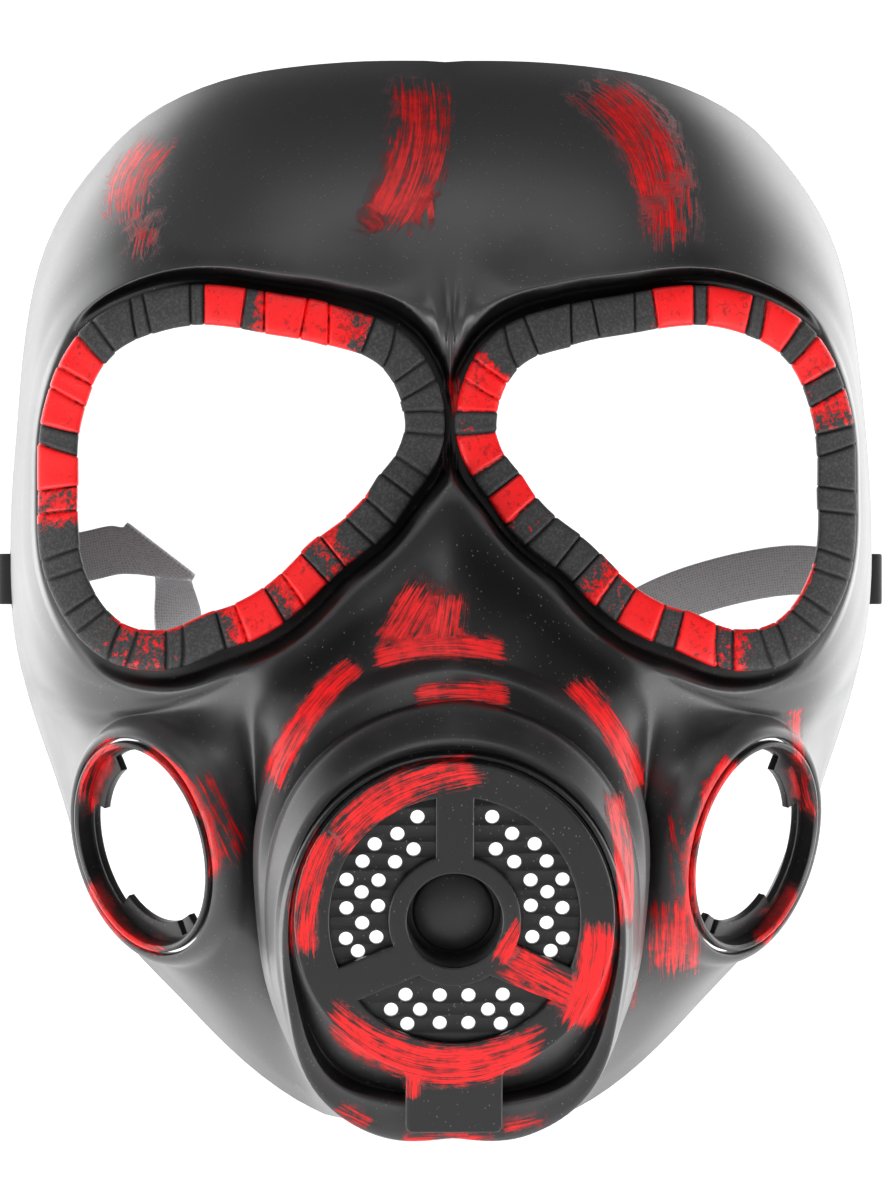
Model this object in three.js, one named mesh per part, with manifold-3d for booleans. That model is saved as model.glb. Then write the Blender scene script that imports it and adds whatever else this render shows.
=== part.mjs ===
// A gas mask style costume mask: one thin moulded shell over the whole face, two wrapped eye rims, a
// snout cap with a perforated grille and a valve button, two empty filter sockets on the cheeks and an
// elastic head strap. Millimetres, +Z up. The mask looks along -Y and the shell's side edges lie at y = 0.
import * as THREE from "three";
import { mergeVertices } from "three/addons/utils/BufferGeometryUtils.js";
import Module from "manifold-3d";

const wasm = await Module();
wasm.setup();

// Eye openings and their rims
const EYE_UP = 27.4;
const EYE_WIDTH = 74;
const EYE_HEIGHT = 68;
const RIM_BAND = 9.3; // width of the rim, seen from the front
const RIM_APART = 0.9; // from the mask's middle plane to each rim
const EYE_ACROSS = RIM_APART + RIM_BAND + EYE_WIDTH / 2; // from the middle plane to the opening's middle
const RIM_THICK = 5;
const RIM_FRONT = 87.5; // the rim's face in front of the side edges, at the middle of the eye
const RIM_WRAP = 11; // how much further back the rim's outer corner lies than its middle
const RIM_CURVE = 6.5;
const RIM_LEAN = 4.5; // how much further back its top lies than its middle
const RIM_SEAT = 2.6; // how far the shell's opening stays back from the rim's own
const RIM_CLEAR = 0.45;
const RIM_GROOVE = 0.9; // depth of the cuts between the wrapped segments
const RIM_PAIRS = 18; // wide and narrow segments, in turn, round each eye
const RIM_NARROW = 0.34; // share of a pair that its narrow segment takes

// Shell
const TEMPLE_WIDTH = 9; // from each rim out to the side edge, seen from the front
const SHELL_WIDTH = 2 * (EYE_ACROSS + EYE_WIDTH / 2 + RIM_BAND + TEMPLE_WIDTH);
const SHELL_HEIGHT = 250;
const FACE_DEPTH = 98; // from the side edges forward to the middle of the face
const WALL = 2.2;
const LIP = 1.2; // how far the crease round each eye stands proud of the face
const NOSE_SINK = 2.5; // hollow of the nose beside that crease

// Snout and its cap
const CAP_FORWARD = 126; // cap's middle, in front of the side edges
const CAP_DOWN = 70.4; // and below the mask's middle
const SNOUT_TILT = THREE.MathUtils.degToRad(8); // the snout points this far below level
const CAP_RADIUS = 35.2;
const CAP_THICK = 2;
const CAP_WINDOW_OUTER = 27.5;
const CAP_WINDOW_INNER = 14.6;
const CAP_SPOKE = 8.4;
const SPOKE_DROP = THREE.MathUtils.degToRad(22.3); // the lower two spokes slope this far below level
const CAP_BORE = 10.5;
const TAB_WIDTH = 21.4;
const TAB_REACH = 47.4; // from the cap's middle to the tab's lower edge
const TAB_ROUND = 1.7;
const COLLAR_DEPTH = 24; // the stepped collar, from the cap's seat back to its flange
const GRILLE_THICK = 1.6;
const GRILLE_HOLE = 1.55; // radius
const GRILLE_INSET = 0.5; // how far the plate's edge stays inside the cap's
const WELL_WALL = 1.7; // wall of the round well behind the cap's bore
const WELL_DEPTH = 12;
const BUTTON_RADIUS = 8.8;
const BUTTON_HEIGHT = 3;
const BUTTON_BASE = 1.2; // thickness of the plate that the button stands on

// Filter sockets on the cheeks
const PORT_INSET = 32.8; // from the shell's side edge in to the socket's middle
const PORT_ACROSS = SHELL_WIDTH / 2 - PORT_INSET;
const PORT_FORWARD = 76;
const PORT_DOWN = 56;
const PORT_TURN = THREE.MathUtils.degToRad(52); // away from straight ahead
const PORT_DROP = THREE.MathUtils.degToRad(12); // below level
const PORT_RADIUS = 24.5;
const PORT_WALL = 1.4;
const PORT_DEPTH = 5.6;
const PORT_BORE = 21.8; // radius inside the flange at the back of the socket
const FLANGE_THICK = 2;
const LUG_REACH = 3.4; // how far the bayonet lugs stand into the bore
const BOSS_EDGE = 4.2; // width of the rounded edge of the cheek's boss round the socket

// Strap
const STRAP_WIDTH = 12;
const STRAP_THICK = 1.3;
const STRAP_UP = 5; // height of the slots above the mask's middle
const SLOT_FORWARD = 7.5; // the slots' middle, in front of the side edges
const SLOT_LONG = 3.4;
const SLOT_ROOM = 1; // clearance above and below the strap
const SLOT_THROUGH = 12; // reach of the cut through the shell's side

const GAP = 0.3; // between pieces that touch on the real mask

const SEAT_BACK = CAP_THICK + GRILLE_THICK + 2 * GAP; // the seat lies this far behind the cap's face
const HALF_WIDTH = SHELL_WIDTH / 2;
const HALF_HEIGHT = SHELL_HEIGHT / 2;
const { clamp, degToRad, lerp, smoothstep } = THREE.MathUtils;

// The shell's edge from the top to the chin, as shares of the half width, half height and face depth.
// full is how squarely the face turns into that side, cut how much of the turn is left at the edge.
const SHELL_EDGE = [
  { across: 0, up: 1, forward: 0.47, full: 2.5, cut: 0.93 },
  { across: 0.27, up: 0.996, forward: 0.45, full: 2.5, cut: 0.93 },
  { across: 0.52, up: 0.965, forward: 0.39, full: 2.6, cut: 0.94 },
  { across: 0.7, up: 0.897, forward: 0.29, full: 2.7, cut: 0.96 },
  { across: 0.8, up: 0.817, forward: 0.2, full: 2.9, cut: 0.975 },
  { across: 0.87, up: 0.746, forward: 0.14, full: 3.1, cut: 0.985 },
  { across: 0.93, up: 0.643, forward: 0.08, full: 3.4, cut: 0.99 },
  { across: 0.966, up: 0.492, forward: 0.04, full: 3.8, cut: 0.995 },
  { across: 0.985, up: 0.317, forward: 0.015, full: 4, cut: 0.997 },
  { across: 1, up: 0.11, forward: 0, full: 4, cut: 0.997 },
  { across: 1, up: 0, forward: 0, full: 3.8, cut: 0.997 },
  { across: 0.971, up: -0.15, forward: 0, full: 3.4, cut: 0.997 },
  { across: 0.927, up: -0.262, forward: 0.02, full: 3, cut: 0.997 },
  { across: 0.878, up: -0.373, forward: 0.05, full: 2.8, cut: 0.995 },
  { across: 0.82, up: -0.52, forward: 0.1, full: 2.6, cut: 0.99 },
  { across: 0.741, up: -0.632, forward: 0.16, full: 2.5, cut: 0.99 },
  { across: 0.605, up: -0.744, forward: 0.24, full: 2.4, cut: 0.99 },
  { across: 0.41, up: -0.892, forward: 0.36, full: 2.4, cut: 0.99 },
  { across: 0.283, up: -0.953, forward: 0.44, full: 2.4, cut: 0.99 },
  { across: 0, up: -0.96, forward: 0.5, full: 2.4, cut: 0.99 },
];

// The eye opening, as shares of its half width and half height, from its nose corner over the top.
// crease is the distance from the rim to the crease round it, as a share of the rim's width.
const EYE_EDGE = [
  { across: -0.995, up: 0.385, crease: 0.6 },
  { across: -0.85, up: 0.74, crease: 0.62 },
  { across: -0.514, up: 0.885, crease: 0.55 },
  { across: -0.119, up: 0.97, crease: 0.47 },
  { across: 0.476, up: 0.99, crease: 0.42 },
  { across: 0.795, up: 0.818, crease: 0.36 },
  { across: 0.968, up: 0.426, crease: 0.27 },
  { across: 0.997, up: -0.07, crease: 0.22 },
  { across: 0.932, up: -0.659, crease: 0.28 },
  { across: 0.722, up: -0.953, crease: 0.45 },
  { across: 0.468, up: -1, crease: 0.55 },
  { across: 0.17, up: -0.874, crease: 0.62 },
  { across: -0.405, up: -0.447, crease: 0.52 },
  { across: -0.816, up: -0.018, crease: 0.42 },
  { across: -0.959, up: 0.197, crease: 0.5 },
];

// The snout's loops from the seat behind the cap out to the nose, at five directions round its axis.
// Radii are shares of the cap's radius; back holds the distances behind the seat at the top, the side and
// the foot, as shares of the collar's depth.
const SNOUT_LOOPS = [
  { top: 0.93, side: 0.93, corner: 0.93, heel: 0.93, foot: 0.93, back: [0, 0, 0] },
  { top: 1.01, side: 1.02, corner: 1.01, heel: 1.01, foot: 1.01, back: [0, 0, 0.02] },
  { top: 1.012, side: 1.025, corner: 1.24, heel: 1.2, foot: 1.165, back: [-0.01, 0, 0.27] },
  { top: 1.02, side: 1.035, corner: 1.3, heel: 1.25, foot: 1.193, back: [-0.05, -0.05, 0.1] },
  { top: 1.034, side: 1.07, corner: 1.43, heel: 1.486, foot: 1.42, back: [-0.04, -0.04, 0.12] },
  { top: 1.04, side: 1.09, corner: 1.44, heel: 1.5, foot: 1.437, back: [0.06, 0.05, 0.2] },
  { top: 1.11, side: 1.12, corner: 1.45, heel: 1.52, foot: 1.45, back: [0.075, 0.12, 0.32] },
  { top: 1.3, side: 1.17, corner: 1.46, heel: 1.54, foot: 1.467, back: [0.41, 0.45, 0.49] },
  { top: 1.32, side: 1.185, corner: 1.47, heel: 1.55, foot: 1.483, back: [0.56, 0.6, 0.66] },
  { top: 1.49, side: 1.22, corner: 1.47, heel: 1.56, foot: 1.5, back: [0.68, 0.74, 0.83] },
  { top: 1.577, side: 1.25, corner: 1.47, heel: 1.57, foot: 1.515, back: [0.867, 0.93, 1] },
];

// Valley between snout and cheek, from the crease down to the jaw, in shares as the shell's edge is.
const VALLEY = [
  { across: 0.424, up: -0.31, forward: 0.93 },
  { across: 0.415, up: -0.48, forward: 0.89 },
  { across: 0.4, up: -0.64, forward: 0.84 },
  { across: 0.36, up: -0.79, forward: 0.74 },
];

// The cheek's loops round a socket, from inside its mouth over the rounded edge of the boss: distances
// beyond the ring and behind the mouth, as shares of that edge's width.
const BOSS_LOOPS = [
  { beyond: 0, behind: 0.57 },
  { beyond: 0, behind: 0.14 },
  { beyond: 0.22, behind: 0 },
  { beyond: 0.67, behind: 0.38 },
  { beyond: 1, behind: 1.19 },
];

// Mesh steps along each stretch of the outline of a patch.
const STEPS = { brow: 8, nose: 8, cheek: 6, temple: 11, jaw: 7, valley: 7, chin: 3 };
const INNER_ROUNDS = 3; // how smooth the shell is inside
const FIELD_STEPS = 4; // loops between the crease and the shell's edge
const PORT_SIDES = 36;
const WELL_SIDES = 20;

// A smooth value between rows that are sorted by at.
function smoothRow(rows, at, key) {
  let i = 0;
  while (i < rows.length - 2 && at > rows[i + 1].at) i++;
  const [before, from, to, after] = [-1, 0, 1, 2].map((k) => rows[clamp(i + k, 0, rows.length - 1)]);
  const span = to.at - from.at;
  const u = clamp((at - from.at) / span, 0, 1);
  const slope = (a, b) => ((b[key] - a[key]) / (b.at - a.at)) * span;
  const [leave, arrive] = [slope(before, to), slope(from, after)];
  const [u2, u3] = [u * u, u * u * u];
  return (
    (2 * u3 - 3 * u2 + 1) * from[key] +
    (u3 - 2 * u2 + u) * leave +
    (3 * u2 - 2 * u3) * to[key] +
    (u3 - u2) * arrive
  );
}

// A closed outline round a middle: rows of x and z, and other columns, read by direction from straight up.
function outline(rows) {
  const knots = rows
    .map((row) => ({ ...row, at: Math.atan2(row.x, row.z), reach: Math.hypot(row.x, row.z) }))
    .sort((a, b) => a.at - b.at);
  const turned = (shift) => knots.map((knot) => ({ ...knot, at: knot.at + shift }));
  const round = [...turned(-2 * Math.PI), ...knots, ...turned(2 * Math.PI)];
  return (direction, key = "reach") => {
    return smoothRow(round, Math.atan2(Math.sin(direction), Math.cos(direction)), key);
  };
}

// The outline moved outwards by a distance that may change with the direction.
function grown(edge, amount, samples = 96) {
  const at = (turn) => new THREE.Vector2(Math.sin(turn), Math.cos(turn)).multiplyScalar(edge(turn));
  const step = (2 * Math.PI) / samples;
  const rows = Array.from({ length: samples }, (_, i) => {
    const direction = i * step;
    const along = at(direction + step / 2).sub(at(direction - step / 2)).normalize();
    const point = at(direction).addScaledVector(new THREE.Vector2(-along.y, along.x), amount(direction));
    return { x: point.x, z: point.y };
  });
  return outline(rows);
}

const shellEdge = outline(
  [1, -1].flatMap((side) =>
    (side > 0 ? SHELL_EDGE : SHELL_EDGE.slice(1, -1)).map((row) => ({
      ...row,
      x: side * row.across * HALF_WIDTH,
      z: row.up * HALF_HEIGHT,
      y: -row.forward * FACE_DEPTH,
    })),
  ),
);

function edgePoint(direction) {
  const reach = shellEdge(direction);
  const [x, z] = [reach * Math.sin(direction), reach * Math.cos(direction)];
  return new THREE.Vector3(x, shellEdge(direction, "y"), z);
}

// The plain face, a dome over the shell's edge, as y at a place seen from the front.
function faceDepth(x, z) {
  const direction = Math.atan2(x, z);
  const [full, cut, y] = ["full", "cut", "y"].map((key) => shellEdge(direction, key));
  const share = Math.min(1, Math.hypot(x, z) / shellEdge(direction));
  const dome = (t) => Math.pow(1 - Math.pow(t, full), 1 / full);
  return lerp(y, -FACE_DEPTH, (dome(share * cut) - dome(cut)) / (1 - dome(cut)));
}

const eyeEdge = outline(
  EYE_EDGE.map(({ across, up, crease }) => {
    return { x: (across * EYE_WIDTH) / 2, z: (up * EYE_HEIGHT) / 2, crease };
  }),
);
const rimEdge = grown(eyeEdge, () => RIM_BAND);
const creaseEdge = grown(eyeEdge, (direction) => RIM_BAND * (1 + eyeEdge(direction, "crease")));

// Front face of the eye rim, as y at a place seen from the front, on the wearer's left eye.
function rimFront(x, z) {
  const across = (x - EYE_ACROSS) / (EYE_WIDTH / 2 + RIM_BAND);
  const up = (z - EYE_UP) / (EYE_HEIGHT / 2 + RIM_BAND);
  return -RIM_FRONT + RIM_WRAP * across + RIM_CURVE * across * across + RIM_LEAN * up;
}

// The face with the trench that the eye rim sits in, and the proud crease round the trench.
function skinDepth(x, z) {
  const [dx, dz] = [x - EYE_ACROSS, z - EYE_UP];
  const direction = Math.atan2(dx, dz);
  const beyond = Math.hypot(dx, dz) - rimEdge(direction);
  const width = creaseEdge(direction) - rimEdge(direction);
  const floor = rimFront(x, z) + RIM_THICK + RIM_CLEAR;
  const fade = 1 - Math.pow(Math.min(1, Math.hypot(x, z) / shellEdge(Math.atan2(x, z))), 8);
  const proud = LIP * fade * Math.exp(-Math.max(0, beyond - width) / (3 * LIP));
  return lerp(floor, faceDepth(x, z) - proud, smoothstep(beyond, 0.4 * width, width));
}

function skinPoint(x, z) {
  return new THREE.Vector3(x, skinDepth(x, z), z);
}

function between(count, from, to, make) {
  return Array.from({ length: count + 1 }, (_, i) => make(lerp(from, to, i / count)));
}

// A point round the snout's axis: direction from up, radius, and distance behind the cap's face.
function snoutPoint(direction, radius, back) {
  const [x, up] = [radius * Math.sin(direction), radius * Math.cos(direction)];
  const [c, s] = [Math.cos(SNOUT_TILT), Math.sin(SNOUT_TILT)];
  return new THREE.Vector3(x, -CAP_FORWARD + back * c - up * s, -CAP_DOWN + back * s + up * c);
}

// The same for the filter socket on the wearer's left: distance out along its axis.
const portAxis = new THREE.Vector3(
  Math.sin(PORT_TURN) * Math.cos(PORT_DROP),
  -Math.cos(PORT_TURN) * Math.cos(PORT_DROP),
  -Math.sin(PORT_DROP),
);
const portMiddle = new THREE.Vector3(PORT_ACROSS, -PORT_FORWARD, -PORT_DOWN);
const portRight = new THREE.Vector3(0, 0, 1).cross(portAxis).normalize();
const portUp = new THREE.Vector3().crossVectors(portAxis, portRight);

function portPoint(direction, radius, out) {
  return portMiddle
    .clone()
    .addScaledVector(portRight, radius * Math.sin(direction))
    .addScaledVector(portUp, radius * Math.cos(direction))
    .addScaledVector(portAxis, out);
}

// The stretches along which the patches of the half shell meet, each a list of points.
const creaseFrom = degToRad(-91.8); // towards the nose bridge
const creaseTo = degToRad(-177);
const cheekEnd = degToRad(101);
const jawEnd = degToRad(166);

function creasePoint(direction) {
  const toMiddle = -EYE_ACROSS / Math.sin(direction);
  const reach = Math.min(creaseEdge(direction), toMiddle > 0 ? toMiddle : Infinity);
  const x = EYE_ACROSS + reach * Math.sin(direction);
  return skinPoint(x < GAP ? 0 : x, EYE_UP + reach * Math.cos(direction));
}

const noseLine = between(STEPS.nose, creaseFrom, creaseTo, creasePoint);
const bridge = noseLine[0].copy(skinPoint(0, noseLine[0].z));
const corner = noseLine.at(-1);
const cheekLine = between(STEPS.cheek, 0, 1, (t) => {
  const end = edgePoint(cheekEnd);
  const sag = new THREE.Vector3().lerpVectors(corner, end, 0.5).setZ(-0.27 * HALF_HEIGHT);
  const place = new THREE.QuadraticBezierCurve3(corner, sag, end).getPoint(t);
  return t === 0 ? corner.clone() : t === 1 ? end : skinPoint(place.x, place.z);
});
const browLine = between(STEPS.brow, 0, Math.PI / 2, (turn) =>
  skinPoint(0, lerp(HALF_HEIGHT, bridge.z, Math.sin(turn))),
);
browLine[0].copy(edgePoint(0));
browLine[STEPS.brow].copy(bridge);
const templeLine = between(STEPS.temple, cheekEnd, 0, edgePoint);
const jawLine = between(STEPS.jaw, cheekEnd, jawEnd, edgePoint);
const chinLine = between(STEPS.chin, jawEnd, Math.PI, edgePoint);
const valleyCurve = new THREE.CatmullRomCurve3([
  corner,
  ...VALLEY.map(
    (row) => new THREE.Vector3(row.across * HALF_WIDTH, -row.forward * FACE_DEPTH, row.up * HALF_HEIGHT),
  ),
  jawLine.at(-1),
]);
const valleyLine = between(STEPS.valley, 0, 1, (t) => valleyCurve.getPoint(t));

// Stretches joined end to end into one run of points.
function joined(...stretches) {
  return stretches.flatMap((points, i) => (i ? points.slice(1) : points));
}

// Loops of the eye's patch, on rays from the middle of the eye to the outline of the patch.
function eyeLoops() {
  const outer = joined(browLine, noseLine, cheekLine, templeLine).slice(1);
  const seat = grown(eyeEdge, () => RIM_SEAT);
  const nearLoops = 6;
  const rays = outer.map((end) => {
    const [dx, dz] = [end.x - EYE_ACROSS, end.z - EYE_UP];
    const direction = Math.atan2(dx, dz);
    const reach = Math.hypot(dx, dz);
    const rim = rimEdge(direction) + GAP;
    const width = creaseEdge(direction) - rim;
    const near = [rim, rim + 0.4 * width, rim + 0.85 * width, rim + width, rim + width + 0.27 * RIM_BAND];
    const field = between(FIELD_STEPS, 0, 1, (t) => lerp(near.at(-1), reach, Math.sin((t * Math.PI) / 2)));
    const wanted = [seat(direction), ...near, ...field.slice(1)];
    const last = wanted.length - 1;
    return wanted.map((radius, k) => {
      if (k === last) return end.clone();
      const limit = k < 1 ? radius : lerp(rim, reach, (k - 1) / (last - 1));
      const r = Math.min(radius, limit);
      const [x, z] = [EYE_ACROSS + r * Math.sin(direction), EYE_UP + r * Math.cos(direction)];
      return skinPoint(x, z);
    });
  });
  return { rays, closed: true, nearLoops };
}

// Radius and distance back of one of the snout's loops, smoothly through its directions.
function roundSnout(loop, direction) {
  const [top, side, foot] = loop.back;
  const rows = [
    { at: 0, radius: loop.top, back: top },
    { at: degToRad(45), radius: lerp(loop.top, loop.side, 0.35), back: lerp(top, side, 0.4) },
    { at: degToRad(90), radius: loop.side, back: side },
    { at: degToRad(118), radius: lerp(loop.side, loop.corner, 0.3), back: lerp(side, foot, 0.4) },
    { at: degToRad(143), radius: loop.corner, back: foot },
    { at: degToRad(163), radius: loop.heel, back: foot },
    { at: Math.PI, radius: loop.foot, back: foot },
  ];
  return {
    radius: smoothRow(rows, direction, "radius") * CAP_RADIUS,
    back: SEAT_BACK + smoothRow(rows, direction, "back") * COLLAR_DEPTH,
  };
}

// Loops of the half snout, from its seat out to the nose, the valley and the chin.
function snoutLoops() {
  const outer = joined(noseLine, valleyLine, chinLine).reverse();
  const middle = -CAP_DOWN + SEAT_BACK;
  const rays = outer.map((end, i) => {
    const direction = i === 0 ? Math.PI : i === outer.length - 1 ? 0 : Math.atan2(end.x, end.z - middle);
    const loops = SNOUT_LOOPS.map((loop) => {
      const { radius, back } = roundSnout(loop, direction);
      return snoutPoint(direction, radius, back);
    });
    const from = loops.at(-1);
    const onNose = smoothstep(direction, degToRad(60), degToRad(30));
    const field = [0.28, 0.68].map((t) => {
      const point = new THREE.Vector3().lerpVectors(from, end, t);
      point.y += NOSE_SINK * onNose * Math.sin(Math.PI * Math.pow(t, 1.6));
      return point;
    });
    return [...loops, ...field, end.clone()];
  });
  return { rays, closed: false };
}

// Loops of the cheek, from the socket's mouth over its boss to the outline of the patch.
function cheekLoops() {
  const outer = joined(cheekLine, jawLine, [...valleyLine].reverse()).slice(1).reverse();
  const start = outer[0].clone().sub(portMiddle);
  const first = Math.atan2(start.dot(portRight), start.dot(portUp));
  const rays = outer.map((end, i) => {
    const away = end.clone().sub(portMiddle);
    const own = Math.atan2(away.dot(portRight), away.dot(portUp));
    const even = first - (2 * Math.PI * i) / outer.length;
    const direction = even + 0.3 * Math.atan2(Math.sin(own - even), Math.cos(own - even));
    const near = BOSS_LOOPS.map(({ beyond, behind }) =>
      portPoint(direction, PORT_RADIUS + 2 * GAP + beyond * BOSS_EDGE, -behind * BOSS_EDGE),
    );
    const from = near.at(-1);
    const knee = portPoint(direction, 1.245 * PORT_RADIUS, -0.45 * PORT_RADIUS);
    const reach = from.distanceTo(end);
    const hold = clamp(reach / (1.22 * PORT_RADIUS), 0.15, 0.75);
    const control = new THREE.Vector3().lerpVectors(from, end, 0.5).lerp(knee, hold);
    const curve = new THREE.QuadraticBezierCurve3(from, control, end);
    return [...near, ...[0.2, 0.45, 0.72].map((t) => curve.getPoint(t)), end.clone()];
  });
  return { rays, closed: true };
}

// Gathers four-sided faces; points in the same place are one point.
class Sheet {
  points = [];
  faces = [];
  index = new Map();

  point(p) {
    const key = [p.x, p.y, p.z].map((v) => Math.round(v * 100)).join();
    if (!this.index.has(key)) {
      this.index.set(key, this.points.length);
      this.points.push(p.clone());
    }
    return this.index.get(key);
  }

  // Faces between neighbouring rays; side is 1 on the wearer's left and -1 for the mirrored half.
  patch({ rays, closed }, side) {
    const ids = rays.map((ray) => ray.map((p) => this.point(new THREE.Vector3(side * p.x, p.y, p.z))));
    const count = closed ? ids.length : ids.length - 1;
    for (let i = 0; i < count; i++) {
      const [a, b] = [ids[i], ids[(i + 1) % ids.length]];
      for (let k = 0; k < a.length - 1; k++) {
        const face = [a[k], a[k + 1], b[k + 1], b[k]].filter((id, j, all) => all.indexOf(id) === j);
        if (face.length > 2) this.faces.push(side > 0 ? face : face.reverse());
      }
    }
  }

  // The sheet's points after each has moved towards its neighbours' middle, some times over. Where the
  // points are far apart, as on the plain forehead, they stay.
  smoothed(rounds) {
    const edges = new Set();
    for (const face of this.faces) face.forEach((id, k) => edges.add(`${id},${face[(k + 1) % face.length]}`));
    const around = this.points.map(() => new Set());
    const fixed = new Set();
    for (const edge of edges) {
      const [a, b] = edge.split(",").map(Number);
      around[a].add(b);
      around[b].add(a);
      if (!edges.has(`${b},${a}`)) fixed.add(a).add(b);
    }
    let points = this.points.map((p) => p.clone());
    for (let i = 0; i < rounds; i++) {
      points = points.map((p, id) => {
        if (fixed.has(id)) return p;
        const others = [...around[id]].map((other) => points[other]);
        const middle = others.reduce((sum, other) => sum.add(other), new THREE.Vector3());
        const gaps = others.map((other) => other.distanceTo(p));
        const apart = gaps.reduce((sum, gap) => sum + gap, 0) / gaps.length;
        const pull = 0.5 * Math.min(1, Math.min(...gaps) / WALL, Math.pow((2 * WALL) / apart, 2));
        return middle.divideScalar(others.length).lerp(p, 1 - pull);
      });
    }
    return points;
  }

  // The sheet as a closed solid: itself, a smoother face one wall behind it, and a strip along open edges.
  solid(wall) {
    const smooth = this.smoothed(INNER_ROUNDS);
    const normals = this.points.map(() => new THREE.Vector3());
    for (const face of this.faces) {
      const [a, b, c] = [face[0], face[1], face[2]].map((id) => smooth[id]);
      const d = smooth[face.at(-1)];
      const n = new THREE.Vector3().crossVectors(c.clone().sub(a), d.clone().sub(b));
      for (const id of face) normals[id].add(n);
    }
    const inner = smooth.map((p, i) => {
      const out = normals[i].normalize();
      const lifted = p.clone().sub(this.points[i]).dot(out);
      return p.clone().addScaledVector(out, -wall - Math.max(0, lifted - wall / 3));
    });
    const count = this.points.length;
    const index = [];
    const add = (face) => {
      for (let k = 1; k < face.length - 1; k++) index.push(face[0], face[k], face[k + 1]);
    };
    const edges = new Set();
    for (const face of this.faces) {
      add(face);
      add(face.map((id) => id + count).reverse());
      face.forEach((id, k) => edges.add(`${id},${face[(k + 1) % face.length]}`));
    }
    for (const edge of edges) {
      const [a, b] = edge.split(",").map(Number);
      if (!edges.has(`${b},${a}`)) add([b, a, a + count, b + count]);
    }
    const geometry = new THREE.BufferGeometry().setFromPoints([...this.points, ...inner]);
    return geometry.setIndex(index);
  }
}

function toManifold(geometry) {
  const bare = geometry.clone();
  bare.deleteAttribute("normal");
  bare.deleteAttribute("uv");
  const merged = mergeVertices(bare, 1e-4);
  return new wasm.Manifold(
    new wasm.Mesh({
      numProp: 3,
      vertProperties: merged.attributes.position.array,
      triVerts: new Uint32Array(merged.index.array),
    }),
  );
}

function fromManifold(solid) {
  const { vertProperties, triVerts } = solid.getMesh();
  const geometry = new THREE.BufferGeometry();
  geometry.setAttribute("position", new THREE.BufferAttribute(vertProperties, 3));
  geometry.setIndex(new THREE.BufferAttribute(triVerts, 1));
  return geometry;
}

function shellGeometry() {
  const sheet = new Sheet();
  for (const side of [1, -1]) {
    for (const patch of [eyeLoops(), snoutLoops(), cheekLoops()]) sheet.patch(patch, side);
  }
  return sheet.solid(WALL);
}

// Moves a piece drawn flat, x to the right and y up, to a plane behind the cap's face.
function ontoSnout(geometry, back) {
  const up = new THREE.Vector3(0, -Math.sin(SNOUT_TILT), Math.cos(SNOUT_TILT));
  const out = new THREE.Vector3(0, -Math.cos(SNOUT_TILT), -Math.sin(SNOUT_TILT));
  const place = new THREE.Matrix4().makeBasis(new THREE.Vector3(1, 0, 0), up, out);
  return geometry.applyMatrix4(place.setPosition(snoutPoint(0, 0, back)));
}

// The same for a socket: side is 1 on the wearer's left, out is along the socket's axis.
function ontoPort(geometry, out) {
  const place = new THREE.Matrix4().makeBasis(portRight, portUp, portAxis);
  return geometry.applyMatrix4(place.setPosition(portPoint(0, 0, out)));
}

function mirrored(geometry) {
  const copy = geometry.clone().applyMatrix4(new THREE.Matrix4().makeScale(-1, 1, 1));
  const ids = copy.index.array.slice();
  for (let i = 0; i < ids.length; i += 3) [ids[i], ids[i + 1]] = [ids[i + 1], ids[i]];
  return copy.setIndex(new THREE.BufferAttribute(ids, 1));
}

function arc(x, y, radius, from, to, steps) {
  return between(steps, from, to, (turn) => {
    return new THREE.Vector2(x + radius * Math.cos(turn), y + radius * Math.sin(turn));
  });
}

function circle(x, y, radius, sides) {
  return new THREE.Path(arc(x, y, radius, 0, 2 * Math.PI, sides).slice(1));
}

function drawn(shape, thick) {
  return new THREE.ExtrudeGeometry(shape, { depth: thick, bevelEnabled: false });
}

function lathed(profile, segments) {
  const points = profile.map(([radius, height]) => new THREE.Vector2(radius, height));
  return new THREE.LatheGeometry([...points, points[0]], segments).rotateX(Math.PI / 2);
}

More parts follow.
